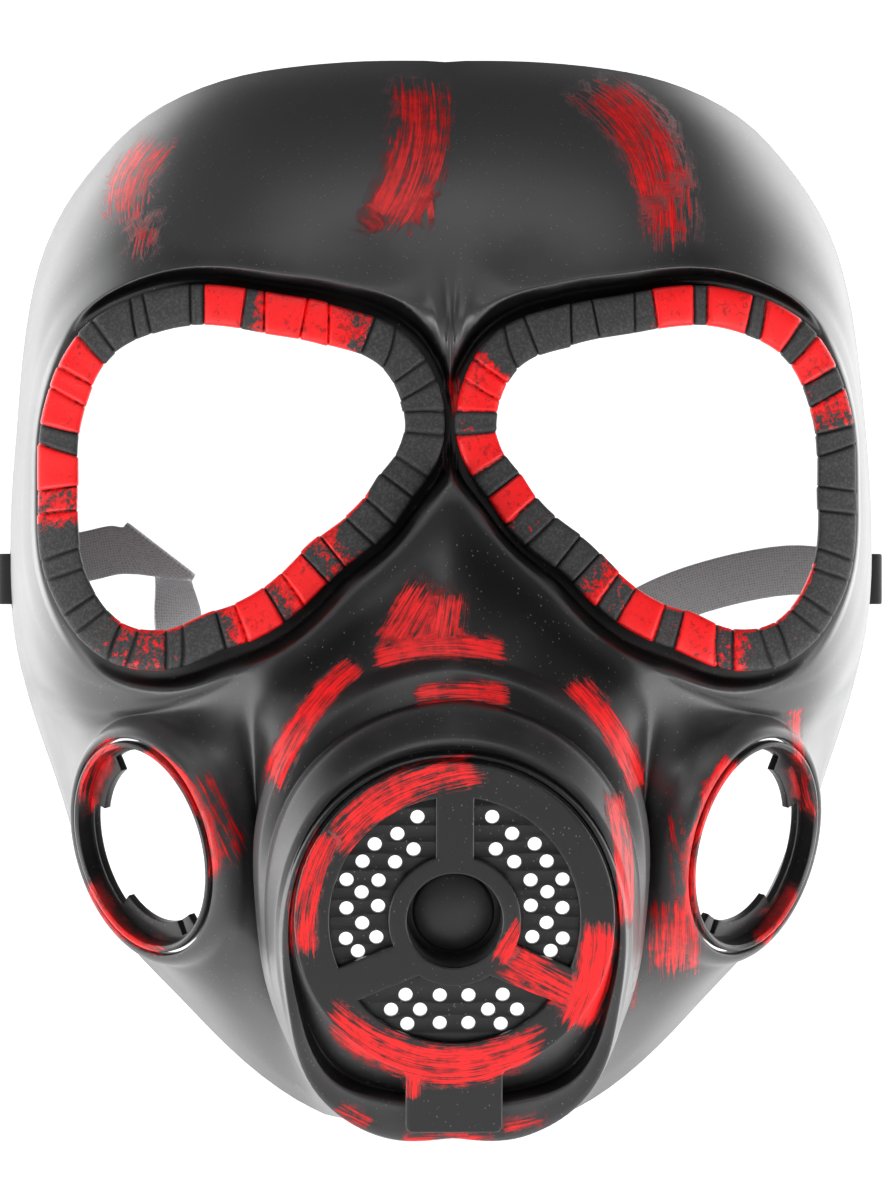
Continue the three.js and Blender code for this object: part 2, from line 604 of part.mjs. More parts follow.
// A wrapped rim: wide and narrow segments in turn, with a cut between each two.
function rimGeometry() {
  const samples = 360;
  const edgeAt = (direction) => {
    const at = (d) => new THREE.Vector2(Math.sin(d), Math.cos(d)).multiplyScalar(eyeEdge(d));
    const along = at(direction + 0.02).sub(at(direction - 0.02)).normalize();
    return { point: at(direction), out: new THREE.Vector2(-along.y, along.x) };
  };
  const mid = grown(eyeEdge, () => RIM_BAND / 2);
  const lengths = [0];
  for (let i = 1; i <= samples; i++) {
    const [a, b] = [i - 1, i].map((k) => {
      const d = (2 * Math.PI * k) / samples;
      return new THREE.Vector2(Math.sin(d), Math.cos(d)).multiplyScalar(mid(d));
    });
    lengths.push(lengths[i - 1] + a.distanceTo(b));
  }
  const total = lengths[samples];
  const directionAt = (length) => {
    let i = 1;
    while (i < samples && lengths[i] < length) i++;
    return (2 * Math.PI * (i - 1 + (length - lengths[i - 1]) / (lengths[i] - lengths[i - 1]))) / samples;
  };
  const pair = total / RIM_PAIRS;
  const cut = 0.035 * pair;
  const stations = [];
  for (let i = 0; i < RIM_PAIRS; i++) {
    const start = i * pair;
    const split = start + (1 - RIM_NARROW) * pair;
    stations.push({ length: start, sink: RIM_GROOVE });
    stations.push({ length: start + cut, sink: 0 }, { length: split - cut, sink: 0 });
    stations.push({ length: split, sink: RIM_GROOVE });
    const raised = { sink: RIM_GROOVE / 3 };
    stations.push({ ...raised, length: split + cut }, { ...raised, length: start + pair - cut });
  }
  const profile = [
    { share: 1, depth: 1 },
    { share: 1, depth: 0.2 },
    { share: 0.8, depth: 0 },
    { share: 0, depth: 0.1 },
    { share: 0, depth: 1 },
  ];
  const points = [];
  for (const { length, sink } of stations) {
    const { point, out } = edgeAt(directionAt(length));
    for (const { share, depth } of profile) {
      const flat = point.clone().addScaledVector(out, share * RIM_BAND);
      const [x, z] = [EYE_ACROSS + flat.x, EYE_UP + flat.y];
      const back = depth === 1 ? RIM_THICK : depth * RIM_THICK + sink;
      points.push(new THREE.Vector3(x, rimFront(x, z) + back, z));
    }
  }
  const [rows, columns] = [stations.length, profile.length];
  const index = [];
  for (let i = 0; i < rows; i++) {
    for (let k = 0; k < columns; k++) {
      const at = (row, column) => (row % rows) * columns + (column % columns);
      const [a, b, c, d] = [at(i, k), at(i + 1, k), at(i + 1, k + 1), at(i, k + 1)];
      index.push(a, c, b, a, d, c);
    }
  }
  return new THREE.BufferGeometry().setFromPoints(points).setIndex(index);
}

// One window of the cap, as a hole in its outline, between two straight edges that run outwards at
// directions from the right, each shifted aside into the window.
function capWindow(from, shiftFrom, to, shiftTo) {
  const start = (radius) => from + Math.asin(shiftFrom / radius);
  const end = (radius) => to - Math.asin(shiftTo / radius);
  const [outer, inner] = [CAP_WINDOW_OUTER, CAP_WINDOW_INNER];
  return new THREE.Path([
    ...arc(0, 0, outer, start(outer), end(outer), 8),
    ...arc(0, 0, inner, end(inner), start(inner), 4),
  ]);
}

function capGeometry() {
  const half = TAB_WIDTH / 2;
  const meet = Math.asin(half / CAP_RADIUS);
  const foot = TAB_REACH - TAB_ROUND;
  const shape = new THREE.Shape([
    ...arc(0, 0, CAP_RADIUS, meet - Math.PI / 2, 1.5 * Math.PI - meet, 38),
    ...arc(-half + TAB_ROUND, -foot, TAB_ROUND, Math.PI, 1.5 * Math.PI, 3),
    ...arc(half - TAB_ROUND, -foot, TAB_ROUND, 1.5 * Math.PI, 2 * Math.PI, 3),
  ]);
  const up = Math.PI / 2;
  const [low, otherLow] = [-SPOKE_DROP, Math.PI + SPOKE_DROP];
  shape.holes.push(capWindow(low, 0, up, CAP_SPOKE / 2));
  shape.holes.push(capWindow(up, CAP_SPOKE / 2, otherLow, 0));
  shape.holes.push(capWindow(otherLow, CAP_SPOKE, low + 2 * Math.PI, CAP_SPOKE));
  shape.holes.push(circle(0, 0, CAP_BORE, WELL_SIDES));
  const well = lathed(
    [
      [CAP_BORE, -WELL_DEPTH - BUTTON_BASE],
      [CAP_BORE + WELL_WALL, -WELL_DEPTH - BUTTON_BASE],
      [CAP_BORE + WELL_WALL, -CAP_THICK / 2],
      [CAP_BORE, -CAP_THICK / 2],
    ],
    WELL_SIDES,
  );
  const plate = toManifold(drawn(shape, CAP_THICK).translate(0, 0, -CAP_THICK));
  return ontoSnout(fromManifold(plate.add(toManifold(well))), 0);
}

// Holes of the grille behind one side window and half of the lower one, from the cap's middle:
// radii as shares of the cap's radius, directions in degrees from up.
const GRILLE_HOLES = [
  { radius: 0.687, turn: 19.8 },
  { radius: 0.647, turn: 33.5 },
  { radius: 0.688, turn: 46.4 },
  { radius: 0.511, turn: 30.1 },
  { radius: 0.680, turn: 57.5 },
  { radius: 0.518, turn: 45.8 },
  { radius: 0.718, turn: 69.6 },
  { radius: 0.534, turn: 62.6 },
  { radius: 0.604, turn: 73.6 },
  { radius: 0.677, turn: 84.1 },
  { radius: 0.484, turn: 80.0 },
  { radius: 0.576, turn: 92.5 },
  { radius: 0.688, turn: 100.4 },
  { radius: 0.500, turn: 103.2 },
  { radius: 0.635, turn: 108.6 },
  { radius: 0.568, turn: 147.7 },
  { radius: 0.492, turn: 169.5 },
  { radius: 0.697, turn: 145.6 },
  { radius: 0.613, turn: 159.7 },
  { radius: 0.727, turn: 156.3 },
  { radius: 0.666, turn: 172.3 },
];

function grilleGeometry() {
  const shape = new THREE.Shape(arc(0, 0, CAP_RADIUS - GRILLE_INSET, 0, 2 * Math.PI, 40).slice(1));
  shape.holes.push(circle(0, 0, CAP_BORE + WELL_WALL + GAP, WELL_SIDES));
  for (const { radius, turn } of GRILLE_HOLES) {
    for (const side of [1, -1]) {
      const [direction, reach] = [degToRad(turn), radius * CAP_RADIUS];
      const [x, y] = [side * reach * Math.sin(direction), reach * Math.cos(direction)];
      shape.holes.push(circle(x, y, GRILLE_HOLE, 6));
    }
  }
  return ontoSnout(drawn(shape, GRILLE_THICK), CAP_THICK + GAP + GRILLE_THICK);
}

function buttonGeometry() {
  const base = CAP_BORE - GAP;
  const dome = between(4, 0, 1, (t) => {
    const turn = (t * Math.PI) / 2;
    return [BUTTON_RADIUS * Math.cos(turn), BUTTON_HEIGHT * (0.45 + 0.55 * Math.sin(turn))];
  });
  const profile = [[0, -BUTTON_BASE], [base, -BUTTON_BASE], [base, 0], [BUTTON_RADIUS, 0], ...dome];
  const points = profile.map(([radius, height]) => new THREE.Vector2(radius, height));
  points.at(-1).x = 0;
  return ontoSnout(new THREE.LatheGeometry(points, WELL_SIDES).rotateX(Math.PI / 2), WELL_DEPTH);
}

// Bayonet lugs round the bore of a socket, in degrees from up towards the side of the head.
const LUGS = [
  { from: 24, to: 66 },
  { from: 133, to: 193 },
  { from: 198, to: 208 },
  { from: 262, to: 300 },
];

function portGeometry() {
  const tail = PORT_RADIUS - 0.75 * PORT_WALL;
  const flange = new THREE.Shape(arc(0, 0, tail, 0, 2 * Math.PI, PORT_SIDES).slice(1));
  const inner = [];
  for (let turn = 0; turn < 360; turn += 9) inner.push({ turn, radius: PORT_BORE });
  const kept = inner.filter(({ turn }) => !LUGS.some((lug) => turn >= lug.from - 1 && turn <= lug.to + 1));
  for (const { from, to } of LUGS) {
    kept.push({ turn: from, radius: PORT_BORE }, { turn: to, radius: PORT_BORE });
    const steps = Math.max(1, Math.round((to - from) / 9));
    for (const turn of between(steps, from + 0.5, to - 0.5, (v) => v)) {
      kept.push({ turn, radius: PORT_BORE - LUG_REACH });
    }
  }
  kept.sort((a, b) => a.turn - b.turn);
  const bore = kept.map(({ turn, radius }) => {
    const direction = degToRad(turn);
    return new THREE.Vector2(radius * Math.sin(direction), radius * Math.cos(direction));
  });
  flange.holes.push(new THREE.Path(bore));
  const tube = lathed(
    [
      [PORT_RADIUS - PORT_WALL, -PORT_DEPTH + FLANGE_THICK / 2],
      [tail, -PORT_DEPTH + FLANGE_THICK / 2],
      [PORT_RADIUS, -PORT_WALL],
      [PORT_RADIUS, 0],
      [PORT_RADIUS - 0.43 * PORT_WALL, 0.36 * PORT_WALL],
      [PORT_RADIUS - PORT_WALL, 0],
    ],
    PORT_SIDES,
  );
  const plate = toManifold(drawn(flange, FLANGE_THICK).translate(0, 0, -PORT_DEPTH));
  return ontoPort(fromManifold(plate.add(toManifold(tube))), 0);
}

// Half of a strap's end: from its sewn tip, round the shell's edge and out through the slot, back inside.
// across and behind are distances from the shell's side edge, inwards and backwards, and up is the rise
// above the slot, all as shares of the slot's distance from that edge.
const STRAP_END = [
  { across: 0.28, behind: 0.307, up: 0 },
  { across: 0.08, behind: 0.36, up: 0 },
  { across: -0.147, behind: 0.227, up: 0 },
  { across: -0.28, behind: -0.133, up: 0 },
  { across: -0.28, behind: -0.533, up: 0 },
  { across: -0.147, behind: -0.827, up: 0 },
  { across: 0.173, behind: -0.96, up: 0 },
  { across: 0.533, behind: -0.813, up: 0 },
  { across: 0.587, behind: -0.267, up: 0 },
  { across: 0.587, behind: 0.187, up: 0.04 },
  { across: 0.8, behind: 0.613, up: 0.133 },
];

// The slack run from the right end of the strap to its left end, as the wearer has them: places as shares
// of the shell's half width; lean is the direction from the middle of the strap to its first edge. The
// fold's length is a share of the strap's width, and its radius a share of its thickness.
const STRAP_RUN = [
  { x: -0.888, y: 0.057, z: 0.086, lean: [-0.2, 0, 0.98] },
  { x: -0.81, y: 0.054, z: 0.105, lean: [-0.2, 0, 0.98] },
  { x: -0.751, y: 0.054, z: 0.117, lean: [-0.25, 0, 0.97] },
];
const STRAP_FOLD = { x: -0.652, y: 0.054, z: 0.116, long: 0.867, turn: degToRad(142.4), radius: 0.77 };
const STRAP_DROP = [
  { x: -0.619, y: 0.074, z: 0.041, lean: [-0.87, 0, 0.5] },
  { x: -0.612, y: 0.076, z: -0.039, lean: [-0.93, -0.36, 0] },
  { x: -0.609, y: 0.083, z: -0.137, lean: [-0.7, -0.7, 0] },
  { x: -0.576, y: 0.096, z: -0.244, lean: [-0.2, -0.98, 0] },
  { x: -0.468, y: 0.103, z: -0.332, lean: [0, -1, 0] },
  { x: -0.273, y: 0.107, z: -0.376, lean: [0, -1, 0] },
  { x: -0.049, y: 0.107, z: -0.356, lean: [0, -1, 0.1] },
  { x: 0.146, y: 0.102, z: -0.254, lean: [-0.1, -0.85, 0.5] },
  { x: 0.312, y: 0.088, z: -0.137, lean: [-0.2, -0.4, 0.9] },
  { x: 0.465, y: 0.073, z: -0.034, lean: [-0.3, 0, 0.95] },
  { x: 0.615, y: 0.063, z: 0.029, lean: [-0.22, 0, 0.97] },
  { x: 0.82, y: 0.057, z: 0.07, lean: [-0.1, 0, 1] },
];

function strapGeometry() {
  const end = (side) =>
    STRAP_END.map((row) => {
      const [across, behind, up] = [row.across, row.behind, row.up].map((share) => share * SLOT_FORWARD);
      return {
        at: new THREE.Vector3(side * (HALF_WIDTH - across), behind, STRAP_UP + up),
        half: new THREE.Vector3(0, 0, STRAP_WIDTH / 2),
      };
    });
  const placed = ({ x, y, z }) => new THREE.Vector3(x, y, z).multiplyScalar(HALF_WIDTH);
  const free = (rows) =>
    rows.map((row) => ({ at: placed(row), half: new THREE.Vector3(...row.lean).setLength(STRAP_WIDTH / 2) }));
  const turn = STRAP_FOLD.turn;
  const radius = STRAP_FOLD.radius * STRAP_THICK;
  const along = new THREE.Vector3(Math.cos(turn), 0, Math.sin(turn));
  const beyond = new THREE.Vector3(Math.sin(turn), 0, -Math.cos(turn));
  const fold = between(4, 0, Math.PI, (bend) => ({
    at: placed(STRAP_FOLD)
      .add(new THREE.Vector3(0, radius * (1 - Math.cos(bend)), 0))
      .addScaledVector(beyond, radius * (Math.sin(bend) - 1)),
    half: along.clone().multiplyScalar(STRAP_FOLD.long * STRAP_WIDTH),
  }));
  const rows = [...end(-1), ...free(STRAP_RUN), ...fold, ...free(STRAP_DROP), ...end(1).reverse()];
  const route = (points) => new THREE.CatmullRomCurve3(points, false, "centripetal");
  const middle = route(rows.map((row) => row.at));
  const edge = route(rows.map((row) => row.at.clone().add(row.half)));
  const perRow = 2;
  const count = (rows.length - 1) * perRow;
  const points = [];
  const index = [];
  for (let i = 0; i <= count; i++) {
    const u = i / count;
    const at = middle.getPoint(u);
    const half = edge.getPoint(u).sub(at);
    const ahead = middle.getPoint(Math.min(1, u + 1e-3)).sub(middle.getPoint(Math.max(0, u - 1e-3)));
    const out = new THREE.Vector3().crossVectors(ahead, half).setLength(STRAP_THICK / 2);
    for (const [w, t] of [[1, 1], [1, -1], [-1, -1], [-1, 1]]) {
      points.push(at.clone().addScaledVector(half, w).addScaledVector(out, t));
    }
    if (i === count) break;
    for (let k = 0; k < 4; k++) {
      const [a, b] = [4 * i + k, 4 * i + ((k + 1) % 4)];
      index.push(a, b + 4, b, a, a + 4, b + 4);
    }
  }
  const last = 4 * count;
  index.push(0, 1, 2, 0, 2, 3, last, last + 2, last + 1, last, last + 3, last + 2);
  return new THREE.BufferGeometry().setFromPoints(points).setIndex(index);
}

// The shell with a slot for the strap through each side.
function slottedShell() {
  const tall = STRAP_WIDTH + 2 * SLOT_ROOM;
  let shell = toManifold(shellGeometry());
  for (const side of [1, -1]) {
    const slot = new THREE.BoxGeometry(SLOT_THROUGH, SLOT_LONG, tall);
    slot.translate(side * HALF_WIDTH, -SLOT_FORWARD, STRAP_UP);
    shell = shell.subtract(toManifold(slot));
  }
  return fromManifold(shell);
}

const materials = {
  plastic: new THREE.MeshStandardMaterial({ color: 0x232325, roughness: 0.42, metalness: 0 }),
  rim: new THREE.MeshStandardMaterial({ color: 0x2a2a2c, roughness: 0.6, metalness: 0 }),
  elastic: new THREE.MeshStandardMaterial({ color: 0x55565a, roughness: 0.8, metalness: 0 }),
};

const mask = new THREE.Group();

function addPiece(name, geometry, material) {
  const mesh = new THREE.Mesh(geometry, material);
  mesh.name = name;
  mask.add(mesh);
  return mesh;
}

addPiece("face_shell", slottedShell(), materials.plastic);
const rim = rimGeometry();
addPiece("eye_rim_left", rim, materials.rim);
addPiece("eye_rim_right", mirrored(rim), materials.rim);
addPiece("front_cap", capGeometry(), materials.plastic);
addPiece("grille_plate", grilleGeometry(), materials.plastic);
addPiece("valve_button", buttonGeometry(), materials.plastic);
const port = portGeometry();
addPiece("port_ring_left", port, materials.plastic);
addPiece("port_ring_right", mirrored(port), materials.plastic);
addPiece("strap", strapGeometry(), materials.elastic);

export default mask;
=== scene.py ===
"""A gas mask style costume mask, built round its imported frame: one moulded face shell, wrapped eye rims,
a snout cap with its grille and valve button, two filter sockets and an elastic strap. Sizes are worked
out in millimetres, as the frame's were, and each finished piece is brought to metres."""

import bisect
import math
import random

import bmesh
import bpy
import numpy as np
from bpy.props import FloatProperty, FloatVectorProperty, IntProperty, PointerProperty
from mathutils import Matrix, Vector


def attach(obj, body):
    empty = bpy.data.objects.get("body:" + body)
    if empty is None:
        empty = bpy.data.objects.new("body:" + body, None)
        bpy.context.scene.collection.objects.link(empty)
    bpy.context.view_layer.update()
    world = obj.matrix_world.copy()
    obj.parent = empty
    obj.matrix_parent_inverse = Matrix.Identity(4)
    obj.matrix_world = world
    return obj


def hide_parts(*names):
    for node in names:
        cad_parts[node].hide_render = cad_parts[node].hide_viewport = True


bl_info = {
    "name": "Costume mask",
    "version": (1, 0, 0),
    "blender": (4, 5, 0),
    "location": "3D View > Sidebar > Mask",
    "description": "Builds a gas mask style costume mask round its frame",
    "category": "Object",
}

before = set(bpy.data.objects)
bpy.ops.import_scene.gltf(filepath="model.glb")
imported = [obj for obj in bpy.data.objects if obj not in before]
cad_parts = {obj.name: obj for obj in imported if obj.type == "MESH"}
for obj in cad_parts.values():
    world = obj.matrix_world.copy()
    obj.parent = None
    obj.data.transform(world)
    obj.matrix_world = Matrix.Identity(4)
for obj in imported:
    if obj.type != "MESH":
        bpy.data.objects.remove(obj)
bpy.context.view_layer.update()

MM = 0.001
TURN = 2 * math.pi
PLASTIC = "satin plastic"


def table(columns, *rows):
    """Rows of values under named columns."""
    return [dict(zip(columns.split(), row)) for row in rows]


# Eye openings and rims, in millimetres as everything until a piece is finished
EYE_UP = 27.4
EYE_WIDTH = 74
EYE_HEIGHT = 68
RIM_BAND = 9.3
RIM_APART = 0.9
EYE_ACROSS = RIM_APART + RIM_BAND + EYE_WIDTH / 2
RIM_THICK = 5
RIM_FRONT = 87.5
RIM_WRAP = 11
RIM_CURVE = 6.5
RIM_LEAN = 4.5
RIM_SEAT = 2.6
RIM_CLEAR = 0.45

# Shell
TEMPLE_WIDTH = 9
SHELL_WIDTH = 2 * (EYE_ACROSS + EYE_WIDTH / 2 + RIM_BAND + TEMPLE_WIDTH)
SHELL_HEIGHT = 250
FACE_DEPTH = 98
LIP = 1.2
NOSE_SINK = 2.5

# Snout and cap
CAP_FORWARD = 126
CAP_DOWN = 70.4
SNOUT_TILT = math.radians(8)
CAP_RADIUS = 35.2
CAP_THICK = 2
CAP_WINDOW_OUTER = 27.5
CAP_WINDOW_INNER = 14.6
CAP_SPOKE = 8.4
SPOKE_DROP = math.radians(22.3)
CAP_BORE = 10.5
TAB_WIDTH = 21.4
TAB_REACH = 47.4
TAB_ROUND = 1.7
TAB_FILLET = 1.8
COLLAR_DEPTH = 24
GRILLE_THICK = 1.6
GRILLE_HOLE = 1.55
GRILLE_INSET = 0.5
GRILLE_BEVEL = 0.16
WELL_WALL = 1.7
WELL_DEPTH = 12
BUTTON_RADIUS = 8.8
BUTTON_HEIGHT = 3
BUTTON_BASE = 1.2
BUTTON_SHOULDER = 0.4
BUTTON_STEP = 0.3

# Filter sockets
PORT_INSET = 32.8
PORT_ACROSS = SHELL_WIDTH / 2 - PORT_INSET
PORT_FORWARD = 76
PORT_DOWN = 56
PORT_TURN = math.radians(52)
PORT_DROP = math.radians(12)
PORT_RADIUS = 24.5
PORT_WALL = 1.4
PORT_DEPTH = 5.6
PORT_BORE = 21.8
FLANGE_THICK = 2
FLANGE_BEVEL = 0.3
LUG_REACH = 3.4
BOSS_EDGE = 4.2

# Strap
STRAP_WIDTH = 12
STRAP_THICK = 1.3
STRAP_UP = 5
SLOT_FORWARD = 7.5
SLOT_LONG = 3.4
SLOT_ROOM = 1
SLOT_THROUGH = 12
BLACK_END_LONG = 19.4
BLACK_END_FADE = 0.8

# Clearance, and how near each other points are merged, in the shell's sheet, the rims and elsewhere
GAP = 0.3
SHEET_MERGE = 0.02
RIM_MERGE = 0.01
MERGE = 0.001

# How firmly the shell's borders hold in smoothing, the rounds that smooth its soft stretches, how far those
# stay from the eye's crease, and over which heights and distances the forehead keeps its own form
EDGE_CREASE = 0.7
SHEET_ROUNDS = 4
CREASE_CLEAR = 1.6
FOREHEAD_UP = (55, 68)
FOREHEAD_BEYOND = (2, 9)

# Rounds that tell hollows from ridges for the plastic's painted shade and painted highlight, the mesh that
# carries the cap's paint, and the fixed painted shade of the grille and painted shine of the button
HOLLOW_ROUNDS = 18
CAP_HOLLOW_ROUNDS = 5
PAINT_GRID = 1.1
PAINT_GRID_SHIFT = 0.37
GRILLE_PAINTED_SHADE = 0.3
BUTTON_PAINTED_SHINE = 0.15

# Stage and camera in metres, the sensor in millimetres; the picture is VIEW_TALL high at 1 m
STAGE_FLOOR = -0.24
STAGE_START = 0.001
STAGE_REACH = 5
STAGE_HEIGHT = 5.8
STAGE_BEND = 1.6
SKY_GLOW = 0.12
LIGHTS_AIM = (0, -0.05, 0)
VIEW_MIDDLE = (0, -0.04, 0)
VIEW_AWAY = 1.5
VIEW_TURN = math.radians(-1.5)
VIEW_TALL = 0.186
SENSOR = 36

SEAT_BACK = CAP_THICK + GRILLE_THICK + 2 * GAP
HALF_WIDTH = SHELL_WIDTH / 2
HALF_HEIGHT = SHELL_HEIGHT / 2

# The shell's edge from the top to the chin: across, up and forward as shares of the half width, half
# height and face depth; full is how squarely the face turns into that side, cut how much is left of it.
SHELL_EDGE = table(
    "across up forward full cut",
    (0, 1, 0.47, 2.5, 0.93),
    (0.27, 0.996, 0.45, 2.5, 0.93),
    (0.52, 0.965, 0.39, 2.6, 0.94),
    (0.7, 0.897, 0.29, 2.7, 0.96),
    (0.8, 0.817, 0.2, 2.9, 0.975),
    (0.87, 0.746, 0.14, 3.1, 0.985),
    (0.93, 0.643, 0.08, 3.4, 0.99),
    (0.966, 0.492, 0.04, 3.8, 0.995),
    (0.985, 0.317, 0.015, 4, 0.997),
    (1, 0.11, 0, 4, 0.997),
    (1, 0, 0, 3.8, 0.997),
    (0.971, -0.15, 0, 3.4, 0.997),
    (0.927, -0.262, 0.02, 3, 0.997),
    (0.878, -0.373, 0.05, 2.8, 0.995),
    (0.82, -0.52, 0.1, 2.6, 0.99),
    (0.741, -0.632, 0.16, 2.5, 0.99),
    (0.605, -0.744, 0.24, 2.4, 0.99),
    (0.41, -0.892, 0.36, 2.4, 0.99),
    (0.283, -0.953, 0.44, 2.4, 0.99),
    (0, -0.96, 0.5, 2.4, 0.99),
)

# The eye opening, as shares of its half width and half height, from its nose corner over the top.
EYE_EDGE = table(
    "across up crease",
    (-0.995, 0.385, 0.6),
    (-0.85, 0.74, 0.62),
    (-0.514, 0.885, 0.55),
    (-0.119, 0.97, 0.47),
    (0.476, 0.99, 0.42),
    (0.795, 0.818, 0.36),
    (0.968, 0.426, 0.27),
    (0.997, -0.07, 0.22),
    (0.932, -0.659, 0.28),
    (0.722, -0.953, 0.45),
    (0.468, -1, 0.55),
    (0.17, -0.874, 0.62),
    (-0.405, -0.447, 0.52),
    (-0.816, -0.018, 0.42),
    (-0.959, 0.197, 0.5),
)

# The snout's loops from the seat behind the cap out to the nose: radii as shares of the cap's radius, and
# distances behind the seat at the top, side and foot as shares of the collar's depth.
SNOUT_LOOPS = table(
    "top side corner heel foot back",
    (0.93, 0.93, 0.93, 0.93, 0.93, (0, 0, 0)),
    (1.01, 1.02, 1.01, 1.01, 1.01, (0, 0, 0.02)),
    (1.012, 1.025, 1.24, 1.2, 1.165, (-0.01, 0, 0.27)),
    (1.02, 1.035, 1.3, 1.25, 1.193, (-0.05, -0.05, 0.1)),
    (1.034, 1.07, 1.43, 1.486, 1.42, (-0.04, -0.04, 0.12)),
    (1.04, 1.09, 1.44, 1.5, 1.437, (0.06, 0.05, 0.2)),
    (1.11, 1.12, 1.45, 1.52, 1.45, (0.075, 0.12, 0.32)),
    (1.3, 1.17, 1.46, 1.54, 1.467, (0.41, 0.45, 0.49)),
    (1.32, 1.185, 1.47, 1.55, 1.483, (0.56, 0.6, 0.66)),
    (1.49, 1.22, 1.47, 1.56, 1.5, (0.68, 0.74, 0.83)),
    (1.577, 1.25, 1.47, 1.57, 1.515, (0.867, 0.93, 1)),
)

# Valley between snout and cheek, from the crease down to the jaw.
VALLEY = table(
    "across up forward",
    (0.424, -0.31, 0.93),
    (0.415, -0.48, 0.89),
    (0.4, -0.64, 0.84),
    (0.36, -0.79, 0.74),
)

# The cheek's loops round a socket, from inside its mouth over the rounded edge of the boss: distances
# beyond the ring and behind the mouth, as shares of that edge's width.
BOSS_LOOPS = table(
    "beyond behind",
    (0, 0.57),
    (0, 0.2),
    (0.08, 0.05),
    (0.22, 0),
    (0.46, 0.1),
    (0.67, 0.34),
    (0.86, 0.76),
    (1, 1.19),
)

# Mesh steps along each stretch where the patches of the half shell meet.
STEPS = {"brow": 16, "nose": 18, "cheek": 12, "temple": 24, "jaw": 14, "valley": 18, "chin": 8}

# Grille holes: radii as shares of the cap's radius, directions in degrees from up.
GRILLE_HOLES = table(
    "radius turn",
    (0.687, 19.8),
    (0.647, 33.5),
    (0.688, 46.4),
    (0.511, 30.1),
    (0.680, 57.5),
    (0.518, 45.8),
    (0.718, 69.6),
    (0.534, 62.6),
    (0.604, 73.6),
    (0.677, 84.1),
    (0.484, 80.0),
    (0.576, 92.5),
    (0.688, 100.4),
    (0.500, 103.2),
    (0.635, 108.6),
    (0.568, 147.7),
    (0.492, 169.5),
    (0.697, 145.6),
    (0.613, 159.7),
    (0.727, 156.3),
    (0.666, 172.3),
)

# Bayonet lugs round a socket's bore, in degrees from up towards the side of the head.
LUGS = table(
    "from to",
    (24, 66),
    (133, 193),
    (198, 208),
    (262, 300),
)

# Half of a strap's end, from its sewn tip round the shell's edge and out through the slot, back inside:
# distances from the shell's side edge, inwards and backwards, and the rise above the slot, all as shares
# of the slot's distance from that edge.
STRAP_END = table(
    "across behind up",
    (0.28, 0.307, 0),
    (0.08, 0.36, 0),
    (-0.147, 0.227, 0),
    (-0.28, -0.133, 0),
    (-0.28, -0.533, 0),
    (-0.147, -0.827, 0),
    (0.173, -0.96, 0),
    (0.533, -0.813, 0),
    (0.587, -0.267, 0),
    (0.587, 0.187, 0.04),
    (0.8, 0.613, 0.133),
)

# The strap's slack run, from the wearer's right to the left: places as shares of the shell's half width;
# lean is the direction from the strap's middle to its first edge. The fold's length is a share of the
# strap's width, and its radius a share of its thickness.
STRAP_RUN = table(
    "at lean",
    ((-0.888, 0.057, 0.086), (-0.2, 0, 0.98)),
    ((-0.81, 0.054, 0.105), (-0.2, 0, 0.98)),
    ((-0.751, 0.054, 0.117), (-0.25, 0, 0.97)),
)
STRAP_FOLD = {"at": (-0.652, 0.054, 0.116), "long": 0.867, "turn": math.radians(142.4), "radius": 0.77}
STRAP_DROP = table(
    "at lean",
    ((-0.619, 0.074, 0.041), (-0.87, 0, 0.5)),
    ((-0.612, 0.076, -0.039), (-0.93, -0.36, 0)),
    ((-0.609, 0.083, -0.137), (-0.7, -0.7, 0)),
    ((-0.576, 0.096, -0.244), (-0.2, -0.98, 0)),
    ((-0.468, 0.103, -0.332), (0, -1, 0)),
    ((-0.273, 0.107, -0.376), (0, -1, 0)),
    ((-0.049, 0.107, -0.356), (0, -1, 0.1)),
    ((0.146, 0.102, -0.254), (-0.1, -0.85, 0.5)),
    ((0.312, 0.088, -0.137), (-0.2, -0.4, 0.9)),
    ((0.465, 0.073, -0.034), (-0.3, 0, 0.95)),
    ((0.615, 0.063, 0.029), (-0.22, 0, 0.97)),
    ((0.82, 0.057, 0.07), (-0.1, 0, 1)),
)

